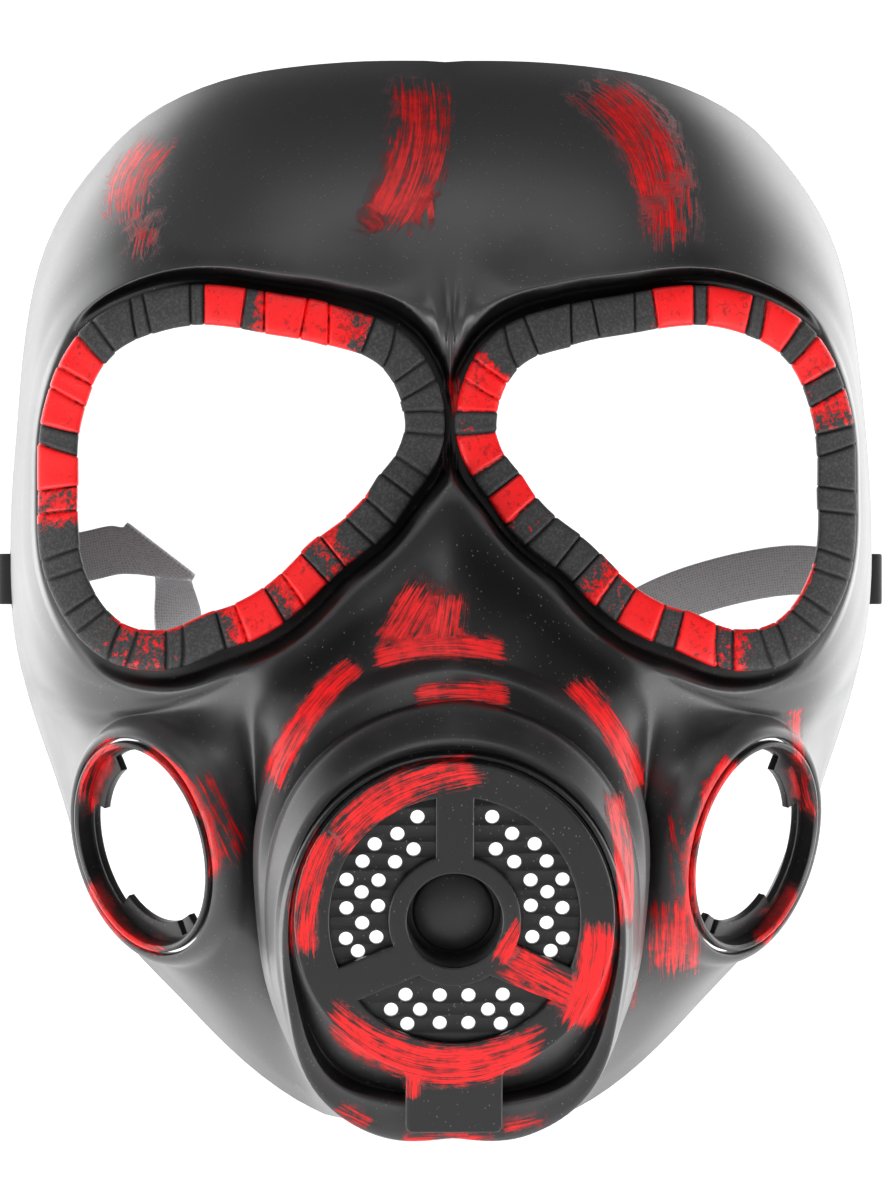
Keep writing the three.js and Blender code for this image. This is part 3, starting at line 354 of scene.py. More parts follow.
# Wrapped segments of the eye rims, each from its cut on: directions of the cut at the rim's outer and
# inner edge, in degrees from up towards the side of the head, and how thickly paint covers the segment
# at its start and end, on the wearer's right and left rim.
RIM_SEGMENTS = table(
    "outer inner right left",
    (0.4, 0, (0.95, 0.9), (0.9, 0.95)),
    (13.6, 13.4, (0, 0), (0.1, 0)),
    (17.4, 17.8, (0, 0), (0.9, 0.85)),
    (30.5, 31.5, (0, 0), (0, 0)),
    (34, 36.7, (0, 0), (0.9, 0.95)),
    (44, 44.5, (0, 0), (0, 0)),
    (48.2, 49.8, (0.9, 0.95), (0.9, 0.75)),
    (56.5, 57.6, (0.95, 0.95), (0.3, 0.1)),
    (62.2, 65, (0.95, 0.95), (0.75, 0.3)),
    (73, 74.3, (0, 0), (0.15, 0)),
    (78, 82, (0.95, 1), (0, 0)),
    (94.3, 92.3, (0.6, 0.5), (0, 0)),
    (102.2, 100.8, (0.85, -0.5), (0, 0)),
    (114.9, 113.2, (0, 0), (0, 0)),
    (119.6, 119.7, (0, 0), (0, 0)),
    (129.2, 128.7, (0, 0), (0, 0)),
    (133.8, 134.4, (0.1, 0.2), (0, 0.2)),
    (141.9, 140.4, (0.35, 0.4), (0, 0)),
    (144.9, 146, (0.4, 0.35), (-0.2, 0.75)),
    (152.8, 153.6, (0.1, 0.2), (0.3, 0.35)),
    (155.4, 158.3, (0.1, 0), (0.85, 0.95)),
    (169.8, 169.2, (0.2, 0.9), (0.15, 0.25)),
    (176.6, 177.2, (0.9, 0.95), (1, 0.95)),
    (190.8, 192, (0.3, 0.8), (0.4, 0.15)),
    (200.7, 203, (0.95, 0.9), (0.75, 0.2)),
    (217.3, 218.7, (0.3, 0.45), (0, 0)),
    (235.2, 234, (0.65, 0), (0, 0)),
    (251.3, 249.6, (0, 0), (0.15, 0.25)),
    (260.3, 261.3, (0, 0), (0.85, 0.9)),
    (272.6, 272.2, (0, 0), (0, 0)),
    (278.4, 278.6, (0, 0), (0.85, 0.9)),
    (286.6, 286, (0, 0), (0.3, 0.1)),
    (290.4, 292.2, (0, 0), (0.9, 0.85)),
    (298.2, 295.8, (0, 0), (0.85, 0.85)),
    (302.9, 301.9, (0, 0), (0.9, -0.7)),
    (311.5, 307.6, (0, 0), (0, 0)),
    (315.6, 315.6, (0.35, 0.95), (0, 0)),
    (330.3, 326.5, (0.95, 0.85), (0, 0)),
    (336.6, 337, (0.95, 0.9), (0, 0)),
    (353.7, 350.7, (0.7, 0), (0, 0.2)),
)

# Stretches of each rim painted along its inside too, in the same degrees.
RIM_INSIDE_PAINT = {"right": (138, 262), "left": (118, 205)}

# How deep the rim's face lies near a cut, by the distance from it, and in the middle of a segment.
RIM_FLANK = table(
    "away sunk",
    (0, 1),
    (0.2, 0.55),
    (0.42, 0),
    (0.85, -0.16),
)
RIM_MIDDLE = [{"at": 0.36, "sunk": -0.04}, {"at": 0.64, "sunk": -0.04}]
RIM_NARROW = 5.5

# A rim's section from its outer edge over its face to its inner edge: shares of its width and thickness.
RIM_PROFILE = [
    (1, 1),
    (1.005, 0.6),
    (1, 0.26),
    (0.975, 0.1),
    (0.9, 0.02),
    (0.72, 0),
    (0.5, 0.02),
    (0.28, 0.05),
    (0.1, 0.1),
    (0.025, 0.17),
    (0, 0.32),
    (0, 0.65),
    (0, 1),
]

# Brush strokes of paint, seen from the front in millimetres: start and end as x and z, width, how far
# the middle bows to the stroke's left, and how thickly it covers.
STROKES = table(
    "from to wide bow cover",
    ((-66.5, 106), (-73, 86), 11, -3, 0.85),
    ((-68.5, 89), (-70.5, 78), 7, 0, 0.55),
    ((-6, 118), (-14, 85), 13, 3, 0.95),
    ((-7, 98), (-6.5, 85), 6.5, 0, 0.8),
    ((-12, 91), (-19, 84), 5, 0, 0.6),
    ((35, 118), (49, 90), 14, 4, 0.95),
    ((50, 98), (50, 81), 12.5, 0, 0.75),
    ((-5, 2), (-13, -11), 10, 0, 1),
    ((-1, 1.5), (-3, -11), 9, 0, 1),
    ((-17, -12.8), (11.5, -11.8), 5, 2, 1.1),
    ((-8.5, -21), (12, -21), 4.6, 1, 1),
    ((-21.5, -14.5), (-40, -41), 5.4, -2.5, 1.05),
    ((27.5, -18.5), (42, -42), 5.6, 1.5, 1.05),
    ((0.9, 50), (1.9, 42), 3, 0, 0.8),
    ((4.5, -37), (-26, -53), 7.6, -3.6, 0.85),
    ((-27.5, -51), (-33.5, -77), 6.2, -2, 0.9),
    ((14.8, -71), (9.8, -79.5), 4.2, 0, 0.85),
    ((11.5, -79.5), (28, -88), 8.6, 0, 0.85),
    ((31.8, -72), (26.5, -94), 8, 1.5, 1.3),
    ((-26.5, -91.5), (18, -98), 8.8, -7.5, 1.05),
    ((-9, -102), (-9, -110), 3, 0, 1.05),
    ((-26, -112), (-18.5, -116), 3.6, 0, 0.7),
    ((11, -117), (20.5, -114.5), 3.4, 0, 0.7),
    ((-11, -119), (9, -119), 2.6, 0, 0.9),
    ((35.3, -43), (37.5, -71), 4.8, 1, 0.9),
    ((41.3, -82), (41.8, -93), 2.4, 0, 0.6),
    ((-82.5, -48), (-75.5, -32), 4.5, 2, 0.9),
    ((-82, -65), (-75, -76), 3.8, 0, 1),
    ((-76, -75), (-65, -80), 3.2, 0, 0.9),
    ((-68, -33.5), (-56, -47), 3, 1.5, 1),
    ((-56, -46), (-53, -62), 3, 1, 0.9),
    ((-57, -40), (-48, -58), 8, 0, 0.6),
    ((58, -44.5), (63.5, -36), 5, 0, 1),
    ((57.5, -41), (52.6, -57), 3.2, 1.5, 0.95),
    ((52.6, -55), (53.3, -70), 3, 1, 0.9),
    ((49.5, -47), (52, -66), 4, 0, 0.55),
    ((50.5, -67), (51.7, -85), 11.5, 0, 0.85),
    ((79.5, -25), (84, -50), 3.4, -1, 0.9),
    ((80, -66), (72, -79), 4, 0, 0.95),
)


# Lights: place and size in metres, the setting that gives their power, and their share of it.
LIGHTS = table(
    "name at size power share",
    ("side_left", (0.62, 0.5, 0.05), (0.8, 1.3), "side", 1),
    ("side_right", (-0.62, 0.5, 0.05), (0.8, 1.3), "side", 1),
    ("low_left", (0.42, -0.3, -0.2), (0.3, 0.4), "side", 0.3),
    ("low_right", (-0.42, -0.3, -0.2), (0.3, 0.4), "side", 0.3),
    ("above", (0, -0.6, 0.95), (0.9, 0.3), "top", 1),
    ("front", (-0.3, -1.3, 0.75), (0.35, 0.3), "front", 1),
)


def clamp(value, low, high):
    return max(low, min(high, value))


def lerp(a, b, t):
    return a + (b - a) * t


def smoothstep(value, low, high):
    t = clamp((value - low) / (high - low), 0, 1)
    return t * t * (3 - 2 * t)


def between(count, start, end, make):
    return [make(lerp(start, end, i / count)) for i in range(count + 1)]


def smooth_row(rows, at, key, starts=None):
    """A smooth value between rows that are sorted by at."""
    starts = starts or [row["at"] for row in rows]
    i = clamp(bisect.bisect_left(starts, at) - 1, 0, len(rows) - 2)
    before, start, end, after = [rows[clamp(i + k, 0, len(rows) - 1)] for k in (-1, 0, 1, 2)]
    span = end["at"] - start["at"]
    u = clamp((at - start["at"]) / span, 0, 1)
    leave = (end[key] - before[key]) / (end["at"] - before["at"]) * span
    arrive = (after[key] - start[key]) / (after["at"] - start["at"]) * span
    u2, u3 = u * u, u * u * u
    return (
        (2 * u3 - 3 * u2 + 1) * start[key]
        + (u3 - 2 * u2 + u) * leave
        + (3 * u2 - 2 * u3) * end[key]
        + (u3 - u2) * arrive
    )


class Outline:
    """A closed outline round a middle, read by direction from straight up."""

    def __init__(self, rows):
        knots = [
            {**row, "at": math.atan2(row["x"], row["z"]), "reach": math.hypot(row["x"], row["z"])}
            for row in rows
        ]
        knots.sort(key=lambda row: row["at"])
        self.rows = [{**row, "at": row["at"] + shift} for shift in (-TURN, 0, TURN) for row in knots]
        self.starts = [row["at"] for row in self.rows]

    def __call__(self, direction, key="reach"):
        at = math.atan2(math.sin(direction), math.cos(direction))
        return smooth_row(self.rows, at, key, self.starts)

    def point(self, direction):
        return Vector((math.sin(direction), math.cos(direction))) * self(direction)

    def out(self, direction, step):
        along = (self.point(direction + step / 2) - self.point(direction - step / 2)).normalized()
        return Vector((-along.y, along.x))

    def grown(self, amount, samples=96):
        """The outline moved outwards by a distance that may change with the direction."""
        step = TURN / samples
        rows = []
        for i in range(samples):
            spot = self.point(i * step) + self.out(i * step, step) * amount(i * step)
            rows.append({"x": spot.x, "z": spot.y})
        return Outline(rows)


def catmull(points, t):
    """A place along a smooth curve through points, its speed settled by the distance between them."""
    last = len(points) - 1
    place = clamp(t, 0, 1) * last
    i = min(int(place), last - 1)
    u = place - i
    p1, p2 = points[i], points[i + 1]
    p0 = points[i - 1] if i else p1 * 2 - p2
    p3 = points[i + 2] if i + 2 <= last else p2 * 2 - p1
    d0, d1, d2 = [max((b - a).length, 1e-4) ** 0.5 for a, b in ((p0, p1), (p1, p2), (p2, p3))]
    t1 = ((p1 - p0) / d0 - (p2 - p0) / (d0 + d1) + (p2 - p1) / d1) * d1
    t2 = ((p2 - p1) / d1 - (p3 - p1) / (d1 + d2) + (p3 - p2) / d2) * d1
    c2 = p1 * -3 + p2 * 3 - t1 * 2 - t2
    c3 = p1 * 2 - p2 * 2 + t1 + t2
    return p1 + t1 * u + c2 * u * u + c3 * u * u * u


def quadratic(a, b, c, t):
    return a * (1 - t) ** 2 + b * (2 * t * (1 - t)) + c * t**2


shell_edge = Outline(
    [
        {
            **row,
            "x": side * row["across"] * HALF_WIDTH,
            "z": row["up"] * HALF_HEIGHT,
            "y": -row["forward"] * FACE_DEPTH,
        }
        for side in (1, -1)
        for row in (SHELL_EDGE if side > 0 else SHELL_EDGE[1:-1])
    ]
)
eye_edge = Outline(
    [
        {"x": row["across"] * EYE_WIDTH / 2, "z": row["up"] * EYE_HEIGHT / 2, "crease": row["crease"]}
        for row in EYE_EDGE
    ]
)
rim_edge = eye_edge.grown(lambda direction: RIM_BAND)
crease_edge = eye_edge.grown(lambda direction: RIM_BAND * (1 + eye_edge(direction, "crease")))
seat_edge = eye_edge.grown(lambda direction: RIM_SEAT)


def edge_point(direction):
    reach = shell_edge(direction)
    return Vector((reach * math.sin(direction), shell_edge(direction, "y"), reach * math.cos(direction)))


def face_depth(x, z):
    """The plain face, a dome over the shell's edge, as y at a place seen from the front."""
    direction = math.atan2(x, z)
    full, cut, y = [shell_edge(direction, key) for key in ("full", "cut", "y")]
    share = min(1, math.hypot(x, z) / shell_edge(direction))

    def dome(t):
        return (1 - t**full) ** (1 / full)

    return lerp(y, -FACE_DEPTH, (dome(share * cut) - dome(cut)) / (1 - dome(cut)))


def rim_front(x, z):
    across = (x - EYE_ACROSS) / (EYE_WIDTH / 2 + RIM_BAND)
    up = (z - EYE_UP) / (EYE_HEIGHT / 2 + RIM_BAND)
    return -RIM_FRONT + RIM_WRAP * across + RIM_CURVE * across * across + RIM_LEAN * up


def skin_point(x, z):
    """The face with the trench that an eye rim sits in and the proud crease round the trench."""
    dx, dz = x - EYE_ACROSS, z - EYE_UP
    direction = math.atan2(dx, dz)
    beyond = math.hypot(dx, dz) - rim_edge(direction)
    width = crease_edge(direction) - rim_edge(direction)
    floor = rim_front(x, z) + RIM_THICK + RIM_CLEAR
    fade = 1 - min(1, math.hypot(x, z) / shell_edge(math.atan2(x, z))) ** 8
    proud = LIP * fade * math.exp(-max(0, beyond - width) / (3 * LIP))
    y = lerp(floor, face_depth(x, z) - proud, smoothstep(beyond, 0.4 * width, width))
    return Vector((x, y, z))


def snout_point(direction, radius, back):
    """A point round the snout's axis, back from the plane of the cap's face."""
    x, up = radius * math.sin(direction), radius * math.cos(direction)
    c, s = math.cos(SNOUT_TILT), math.sin(SNOUT_TILT)
    return Vector((x, -CAP_FORWARD + back * c - up * s, -CAP_DOWN + back * s + up * c))


port_axis = Vector(
    (
        math.sin(PORT_TURN) * math.cos(PORT_DROP),
        -math.cos(PORT_TURN) * math.cos(PORT_DROP),
        -math.sin(PORT_DROP),
    )
)
port_middle = Vector((PORT_ACROSS, -PORT_FORWARD, -PORT_DOWN))
port_right = Vector((0, 0, 1)).cross(port_axis).normalized()
port_up = port_axis.cross(port_right)


def port_point(direction, radius, out):
    return (
        port_middle
        + port_right * radius * math.sin(direction)
        + port_up * radius * math.cos(direction)
        + port_axis * out
    )


def crease_point(direction):
    to_middle = -EYE_ACROSS / math.sin(direction)
    reach = crease_edge(direction)
    if to_middle > 0:
        reach = min(reach, to_middle)
    x = EYE_ACROSS + reach * math.sin(direction)
    return skin_point(0 if x < GAP else x, EYE_UP + reach * math.cos(direction))


def beyond_crease(x, z):
    dx, dz = abs(x) - EYE_ACROSS, z - EYE_UP
    return math.hypot(dx, dz) - crease_edge(math.atan2(dx, dz))


def joined(*stretches):
    """Stretches joined end to end into one run of points."""
    run = list(stretches[0])
    for points in stretches[1:]:
        run += points[1:]
    return run


class Seams:
    """The stretches along which the patches of the half shell meet."""

    def __init__(self):
        crease_from, crease_to = math.radians(-91.8), math.radians(-177)
        cheek_end, jaw_end = math.radians(101), math.radians(166)
        self.nose = between(STEPS["nose"], crease_from, crease_to, crease_point)
        self.nose[0] = skin_point(0, self.nose[0].z)
        bridge, corner, end = self.nose[0], self.nose[-1], edge_point(cheek_end)
        sag = corner.lerp(end, 0.5)
        sag.z = -0.27 * HALF_HEIGHT
        self.cheek = between(STEPS["cheek"], 0, 1, lambda t: quadratic(corner, sag, end, t))
        self.cheek = [corner, *[skin_point(p.x, p.z) for p in self.cheek[1:-1]], end]
        self.brow = between(
            STEPS["brow"],
            0,
            math.pi / 2,
            lambda turn: skin_point(0, lerp(HALF_HEIGHT, bridge.z, math.sin(turn))),
        )
        self.brow = [edge_point(0), *self.brow[1:-1], bridge]
        self.temple = between(STEPS["temple"], cheek_end, 0, edge_point)
        self.jaw = between(STEPS["jaw"], cheek_end, jaw_end, edge_point)
        self.chin = between(STEPS["chin"], jaw_end, math.pi, edge_point)
        knots = [
            Vector((row["across"] * HALF_WIDTH, -row["forward"] * FACE_DEPTH, row["up"] * HALF_HEIGHT))
            for row in VALLEY
        ]
        knots = [corner, *knots, self.jaw[-1]]
        self.valley = between(STEPS["valley"], 0, 1, lambda t: catmull(knots, t))


def along_ray(points, places):
    """Points along a run of points, at places counted in points from its start."""
    found = []
    for place in places:
        k = min(int(place), len(points) - 2)
        found.append(points[k].lerp(points[k + 1], place - k))
    return found


def eye_patch(seams):
    """Rays from the eye opening over its trench and crease to the outline of the patch."""
    outer = joined(seams.brow, seams.nose, seams.cheek, seams.temple)[1:]
    rays = []
    for end in outer:
        dx, dz = end.x - EYE_ACROSS, end.z - EYE_UP
        direction, reach = math.atan2(dx, dz), math.hypot(dx, dz)
        rim = rim_edge(direction) + GAP
        width = crease_edge(direction) - rim
        shares = (0, 0.4, 0.62, 0.82, 0.93, 1, 1.1)
        near = [seat_edge(direction), *[rim + share * width for share in shares]]
        near.append(rim + width + 0.27 * RIM_BAND)
        field = between(9, 0, 1, lambda t: lerp(near[-1], reach, math.sin(t * math.pi / 2)))[1:]
        wanted = [*near, *field]
        last = len(wanted) - 1
        ray = []
        for k, radius in enumerate(wanted[:-1]):
            limit = radius if k < 1 else lerp(rim, reach, (k - 1) / (last - 1))
            r = min(radius, limit)
            ray.append(skin_point(EYE_ACROSS + r * math.sin(direction), EYE_UP + r * math.cos(direction)))
        rays.append([*ray, end])
    return {"rays": rays, "closed": True, "soft": 9}


def round_snout(loop, direction):
    """Radius and distance back of one of the snout's loops."""
    top, side, foot = loop["back"]
    rows = [
        {"at": 0, "radius": loop["top"], "back": top},
        {"at": 45, "radius": lerp(loop["top"], loop["side"], 0.35), "back": lerp(top, side, 0.4)},
        {"at": 90, "radius": loop["side"], "back": side},
        {"at": 118, "radius": lerp(loop["side"], loop["corner"], 0.3), "back": lerp(side, foot, 0.4)},
        {"at": 143, "radius": loop["corner"], "back": foot},
        {"at": 163, "radius": loop["heel"], "back": foot},
        {"at": 180, "radius": loop["foot"], "back": foot},
    ]
    turn = math.degrees(direction)
    radius = smooth_row(rows, turn, "radius") * CAP_RADIUS
    return snout_point(direction, radius, SEAT_BACK + smooth_row(rows, turn, "back") * COLLAR_DEPTH)


def snout_patch(seams):
    """Rays of the half snout, from its seat over the stepped collar to the nose, the valley and the chin."""
    outer = joined(seams.nose, seams.valley, seams.chin)[::-1]
    middle = -CAP_DOWN + SEAT_BACK
    loops = len(SNOUT_LOOPS)
    places = [0]
    for k in range(1, loops - 1):
        places += [k - 0.16, k, k + 0.16]
    places += [loops - 1.16, loops - 1, loops - 0.8, loops - 0.5, loops, loops + 0.5, loops + 1]
    places += [loops + 1.5, loops + 2]
    rays = []
    for i, end in enumerate(outer):
        ends = {0: math.pi, len(outer) - 1: 0}
        direction = ends.get(i, math.atan2(end.x, end.z - middle))
        ray = [round_snout(loop, direction) for loop in SNOUT_LOOPS]
        start = ray[-1]
        on_nose = 1 - smoothstep(direction, math.radians(30), math.radians(60))
        for t in (0.28, 0.68):
            point = start.lerp(end, t)
            point.y += NOSE_SINK * on_nose * math.sin(math.pi * t**1.6)
            ray.append(point)
        ray = along_ray([*ray, end], places)
        rays.append([*ray[:-1], end])
    return {"rays": rays, "closed": False, "soft": len(places) - 7}


def cheek_patch(seams):
    """Rays of the cheek, from the socket's mouth over its boss to the outline of the patch."""
    outer = joined(seams.cheek, seams.jaw, seams.valley[::-1])[1:][::-1]
    start = outer[0] - port_middle
    first = math.atan2(start.dot(port_right), start.dot(port_up))
    rays = []
    for i, end in enumerate(outer):
        away = end - port_middle
        own = math.atan2(away.dot(port_right), away.dot(port_up))
        even = first - TURN * i / len(outer)
        direction = even + 0.3 * math.atan2(math.sin(own - even), math.cos(own - even))
        near = [
            port_point(
                direction,
                PORT_RADIUS + 2 * GAP + row["beyond"] * BOSS_EDGE,
                -row["behind"] * BOSS_EDGE,
            )
            for row in BOSS_LOOPS
        ]
        knee = port_point(direction, 1.245 * PORT_RADIUS, -0.45 * PORT_RADIUS)
        hold = clamp((near[-1] - end).length / (1.22 * PORT_RADIUS), 0.15, 0.75)
        control = near[-1].lerp(end, 0.5).lerp(knee, hold)
        field = between(8, 0, 1, lambda t: quadratic(near[-1], control, end, t))[1:-1]
        rays.append([*near, *field, end])
    return {"rays": rays, "closed": True, "soft": 9}


def laid_grid(bm, rows, closed):
    """A grid whose columns are the given rows of points."""
    columns, hollow_shade = len(rows) if closed else len(rows) - 1, len(rows[0]) - 1
    made = bmesh.ops.create_grid(bm, x_segments=columns, y_segments=hollow_shade, size=0.5)["verts"]
    places = []
    for vert in made:
        i, k = round((vert.co.x + 0.5) * columns), round((vert.co.y + 0.5) * hollow_shade)
        vert.co = rows[i % len(rows)][k]
        places.append((vert, i, k))
    return places


def all_of(bm):
    return bm.verts[:] + bm.edges[:] + bm.faces[:]


def smoothed(bm, verts, rounds):
    for _ in range(rounds):
        bmesh.ops.smooth_vert(
            bm, verts=verts, factor=0.5, use_axis_x=True, use_axis_y=True, use_axis_z=True
        )


def cleaned(bm, apart):
    """Merges vertices that lie together and turns the faces outwards."""
    bmesh.ops.remove_doubles(bm, verts=bm.verts, dist=apart)
    bmesh.ops.recalc_face_normals(bm, faces=bm.faces)


def shell_sheet(seams):
    """The shell's outer face as one open sheet, its soft stretches smoothed, the forehead on its own form."""
    bm = bmesh.new()
    soft = bm.verts.layers.int.new("soft")
    for patch in (eye_patch(seams), snout_patch(seams), cheek_patch(seams)):
        for vert, _, k in laid_grid(bm, patch["rays"], patch["closed"]):
            vert[soft] = int(k >= patch["soft"])
    bmesh.ops.remove_doubles(bm, verts=bm.verts, dist=SHEET_MERGE)
    bmesh.ops.mirror(bm, geom=all_of(bm), axis="X", merge_dist=SHEET_MERGE)
    cleaned(bm, SHEET_MERGE)
    if sum(face.normal.y * face.calc_area() for face in bm.faces) > 0:
        bmesh.ops.reverse_faces(bm, faces=bm.faces)
    loose = []
    for vert in bm.verts:
        clear = beyond_crease(vert.co.x, vert.co.z) > CREASE_CLEAR
        if vert[soft] and clear and not vert.is_boundary:
            loose.append(vert)
    smoothed(bm, loose, SHEET_ROUNDS)
    for vert in loose:
        x, z = abs(vert.co.x), vert.co.z
        share = smoothstep(beyond_crease(x, z), *FOREHEAD_BEYOND) * smoothstep(z, *FOREHEAD_UP)
        vert.co.y = lerp(vert.co.y, skin_point(x, z).y, share)
    return bm


def walled(bm, wall, rounds):
    """Gives an open sheet its thickness: a smoother copy one wall behind it, and strips round its edges."""
    crease = bm.edges.layers.float.new("crease_edge")
    outer = bm.verts[:]
    borders = [edge for edge in bm.edges if edge.is_boundary]
    for edge in borders:
        edge[crease] = EDGE_CREASE
    twin = bmesh.ops.duplicate(bm, geom=all_of(bm))["vert_map"]
    inner = [twin[vert] for vert in outer]
    free = [vert for vert in inner if not vert.is_boundary]
    smoothed(bm, free, rounds)
    bm.normal_update()
    inner_faces = {face for vert in inner for face in vert.link_faces}
    moves = []
    for vert, behind in zip(outer, inner):
        lifted = (behind.co - vert.co).dot(behind.normal)
        moves.append(behind.normal * (wall + max(0, lifted - wall / 3)))
    for behind, move in zip(inner, moves):
        behind.co -= move
    bmesh.ops.reverse_faces(bm, faces=list(inner_faces))
    for edge in borders:
        a, b = edge.verts
        bm.faces.new((a, b, twin[b], twin[a]))
    bmesh.ops.recalc_face_normals(bm, faces=bm.faces)


def piece(name, bm):
    """A finished piece from a mesh in millimetres."""
    bmesh.ops.scale(bm, vec=(MM, MM, MM), verts=bm.verts)
    mesh = bpy.data.meshes.new(name)
    bm.to_mesh(mesh)
    bm.free()
    made = bpy.data.objects.new(name, mesh)
    bpy.context.scene.collection.objects.link(made)
    mesh.shade_smooth()
    return made


def settled(made):
    """The piece with its modifiers made part of its mesh."""
    graph = bpy.context.evaluated_depsgraph_get()
    mesh = bpy.data.meshes.new_from_object(made.evaluated_get(graph))
    made.modifiers.clear()
    made.data = mesh
    return made


def refined(made):
    modifier = made.modifiers.new("Refine", "SUBSURF")
    modifier.levels = modifier.render_levels = 1
    return settled(made)


def creased(made, degrees):
    """Smooth shading that stops at sharp edges."""
    mesh = made.data
    mesh.shade_smooth()
    mesh.set_sharp_from_angle(angle=math.radians(degrees))
    return made


def seated(made, nodes, material):
    """Gives a piece its material and its place in the frame."""
    made.data.materials.clear()
    made.data.materials.append(material)
    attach(made, "root")
    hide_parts(*nodes)


def flat_plate(outlines, thick, bevel):
    """A bevelled plate in the plane of x and y, its front at height 0: an outline and its holes."""
    curve = bpy.data.curves.new("plate", "CURVE")
    curve.dimensions = "2D"
    curve.fill_mode = "BOTH"
    curve.extrude = thick / 2 - bevel
    curve.bevel_depth = bevel
    curve.bevel_resolution = 2
    curve.offset = -bevel
    for points in outlines:
        spline = curve.splines.new("POLY")
        spline.points.add(len(points) - 1)
        for spot, (x, y) in zip(spline.points, points):
            spot.co = (x, y, 0, 1)
        spline.use_cyclic_u = True
    drawn = bpy.data.objects.new("plate", curve)
    bpy.context.scene.collection.objects.link(drawn)
    graph = bpy.context.evaluated_depsgraph_get()
    mesh = bpy.data.meshes.new_from_object(drawn.evaluated_get(graph))
    bm = bmesh.new()
    bm.from_mesh(mesh)
    bpy.data.objects.remove(drawn)
    bpy.data.curves.remove(curve)
    bpy.data.meshes.remove(mesh)
    cleaned(bm, MERGE)
    bmesh.ops.translate(bm, vec=(0, 0, -thick / 2), verts=bm.verts)
    return bm


def gridded(bm, step):
    """Cuts a flat piece into a grid, so that it can carry paint."""
    for axis in (Vector((1, 0, 0)), Vector((0, 1, 0))):
        reach = max(abs(vert.co.dot(axis)) for vert in bm.verts)
        for i in range(-int(reach / step), int(reach / step) + 1):
            spot = axis * step * (i + PAINT_GRID_SHIFT)
            bmesh.ops.bisect_plane(bm, geom=all_of(bm), dist=MERGE, plane_co=spot, plane_no=axis)


def revolved(bm, profile, steps, closed=False):
    """Turns a profile of radius and height round the third axis."""
    verts = [bm.verts.new((radius, 0, height)) for radius, height in profile]
    pairs = list(zip(verts, verts[1:]))
    if closed:
        pairs.append((verts[-1], verts[0]))
    edges = [bm.edges.new(pair) for pair in pairs]
    bmesh.ops.spin(
        bm,
        geom=verts + edges,
        cent=(0, 0, 0),
        axis=(0, 0, 1),
        dvec=(0, 0, 0),
        angle=TURN,
        steps=steps,
        use_merge=True,
    )


def spun(bm, profile, steps):
    """Adds a body of revolution from a profile that is closed or runs from axis to axis."""
    revolved(bm, profile, steps, profile[0][0] > 0)
    cleaned(bm, MERGE)


def arc(x, y, radius, start, end, steps):
    return between(
        steps, start, end, lambda turn: (x + radius * math.cos(turn), y + radius * math.sin(turn))
    )


def circle(x, y, radius, sides):
    return arc(x, y, radius, 0, TURN, sides)[:-1]


def snout_place(back):
    """Where the plane behind the cap's face lies."""
    c, s = math.cos(SNOUT_TILT), math.sin(SNOUT_TILT)
    place = Matrix(((1, 0, 0), (0, -s, -c), (0, c, -s))).to_4x4()
    place.translation = snout_point(0, 0, back)
    return place


def port_place():
    place = Matrix((port_right, port_up, port_axis)).transposed().to_4x4()
    place.translation = port_middle
    return place


def surface_of(mesh):
    """Places, in millimetres, and normals of a mesh's vertices."""
    read = []
    for key in ("co", "normal"):
        values = np.empty(len(mesh.vertices) * 3)
        mesh.vertices.foreach_get(key, values)
        read.append(values.reshape(-1, 3))
    return read[0] / MM, read[1]


def paint_on(made, strokes):
    """Writes the brush strokes that reach a piece's front as an attribute: along, across and cover."""
    mesh = made.data
    place, facing = surface_of(mesh)
    count = len(place)
    best = np.zeros((count, 3))
    front = facing[:, 1] < 0.25
    for i, stroke in enumerate(strokes):
        (x1, z1), (x2, z2) = stroke["from"], stroke["to"]
        long = math.hypot(x2 - x1, z2 - z1)
        ux, uz = (x2 - x1) / long, (z2 - z1) / long
        dx, dz = place[:, 0] - x1, place[:, 2] - z1
        along = dx * ux + dz * uz
        share = along / long
        across = dz * ux - dx * uz - 4 * stroke["bow"] * share * (1 - share)
        half = stroke["wide"] / 2
        side = np.clip(1.45 * (1 - (np.abs(across) / (1.25 * half)) ** 2), 0, 1)
        reach = np.minimum(along, long - along) / half
        end = np.clip(0.5 + reach, 0, 1)
        cover = np.where(front, stroke["cover"] * side * end, 0)
        better = cover > best[:, 2]
        best[better] = np.stack([along, across + 31 * i, cover], axis=1)[better]
    layer = mesh.attributes.new("paint", "FLOAT_VECTOR", "POINT")
    layer.data.foreach_set("vector", best.astype(np.float32).ravel())


def hollow_on(made, rounds, painted_shift=0.0):
    """Writes how deep a place lies in a hollow in millimetres, below nought on a ridge, plus a painted shift.
    """
    mesh = made.data
    place, facing = surface_of(mesh)
    count = len(place)
    ends = np.empty(len(mesh.edges) * 2, np.int32)
    mesh.edges.foreach_get("vertices", ends)
    here, there = np.concatenate([ends[::2], ends[1::2]]), np.concatenate([ends[1::2], ends[::2]])
    around = np.bincount(here, minlength=count)[:, None]
    eased = place
    for _ in range(rounds):
        sums = [np.bincount(here, weights=eased[there, axis], minlength=count) for axis in range(3)]
        eased = (eased + np.stack(sums, axis=1) / around) / 2
    # The plastic turns this into painted shade in hollows and a painted highlight on ridges; a shift above
    # nought paints a piece darker, below nought lighter
    layer = mesh.attributes.new("hollow", "FLOAT", "POINT")
    depth = ((eased - place) * facing).sum(axis=1) + painted_shift
    layer.data.foreach_set("value", depth.astype(np.float32))


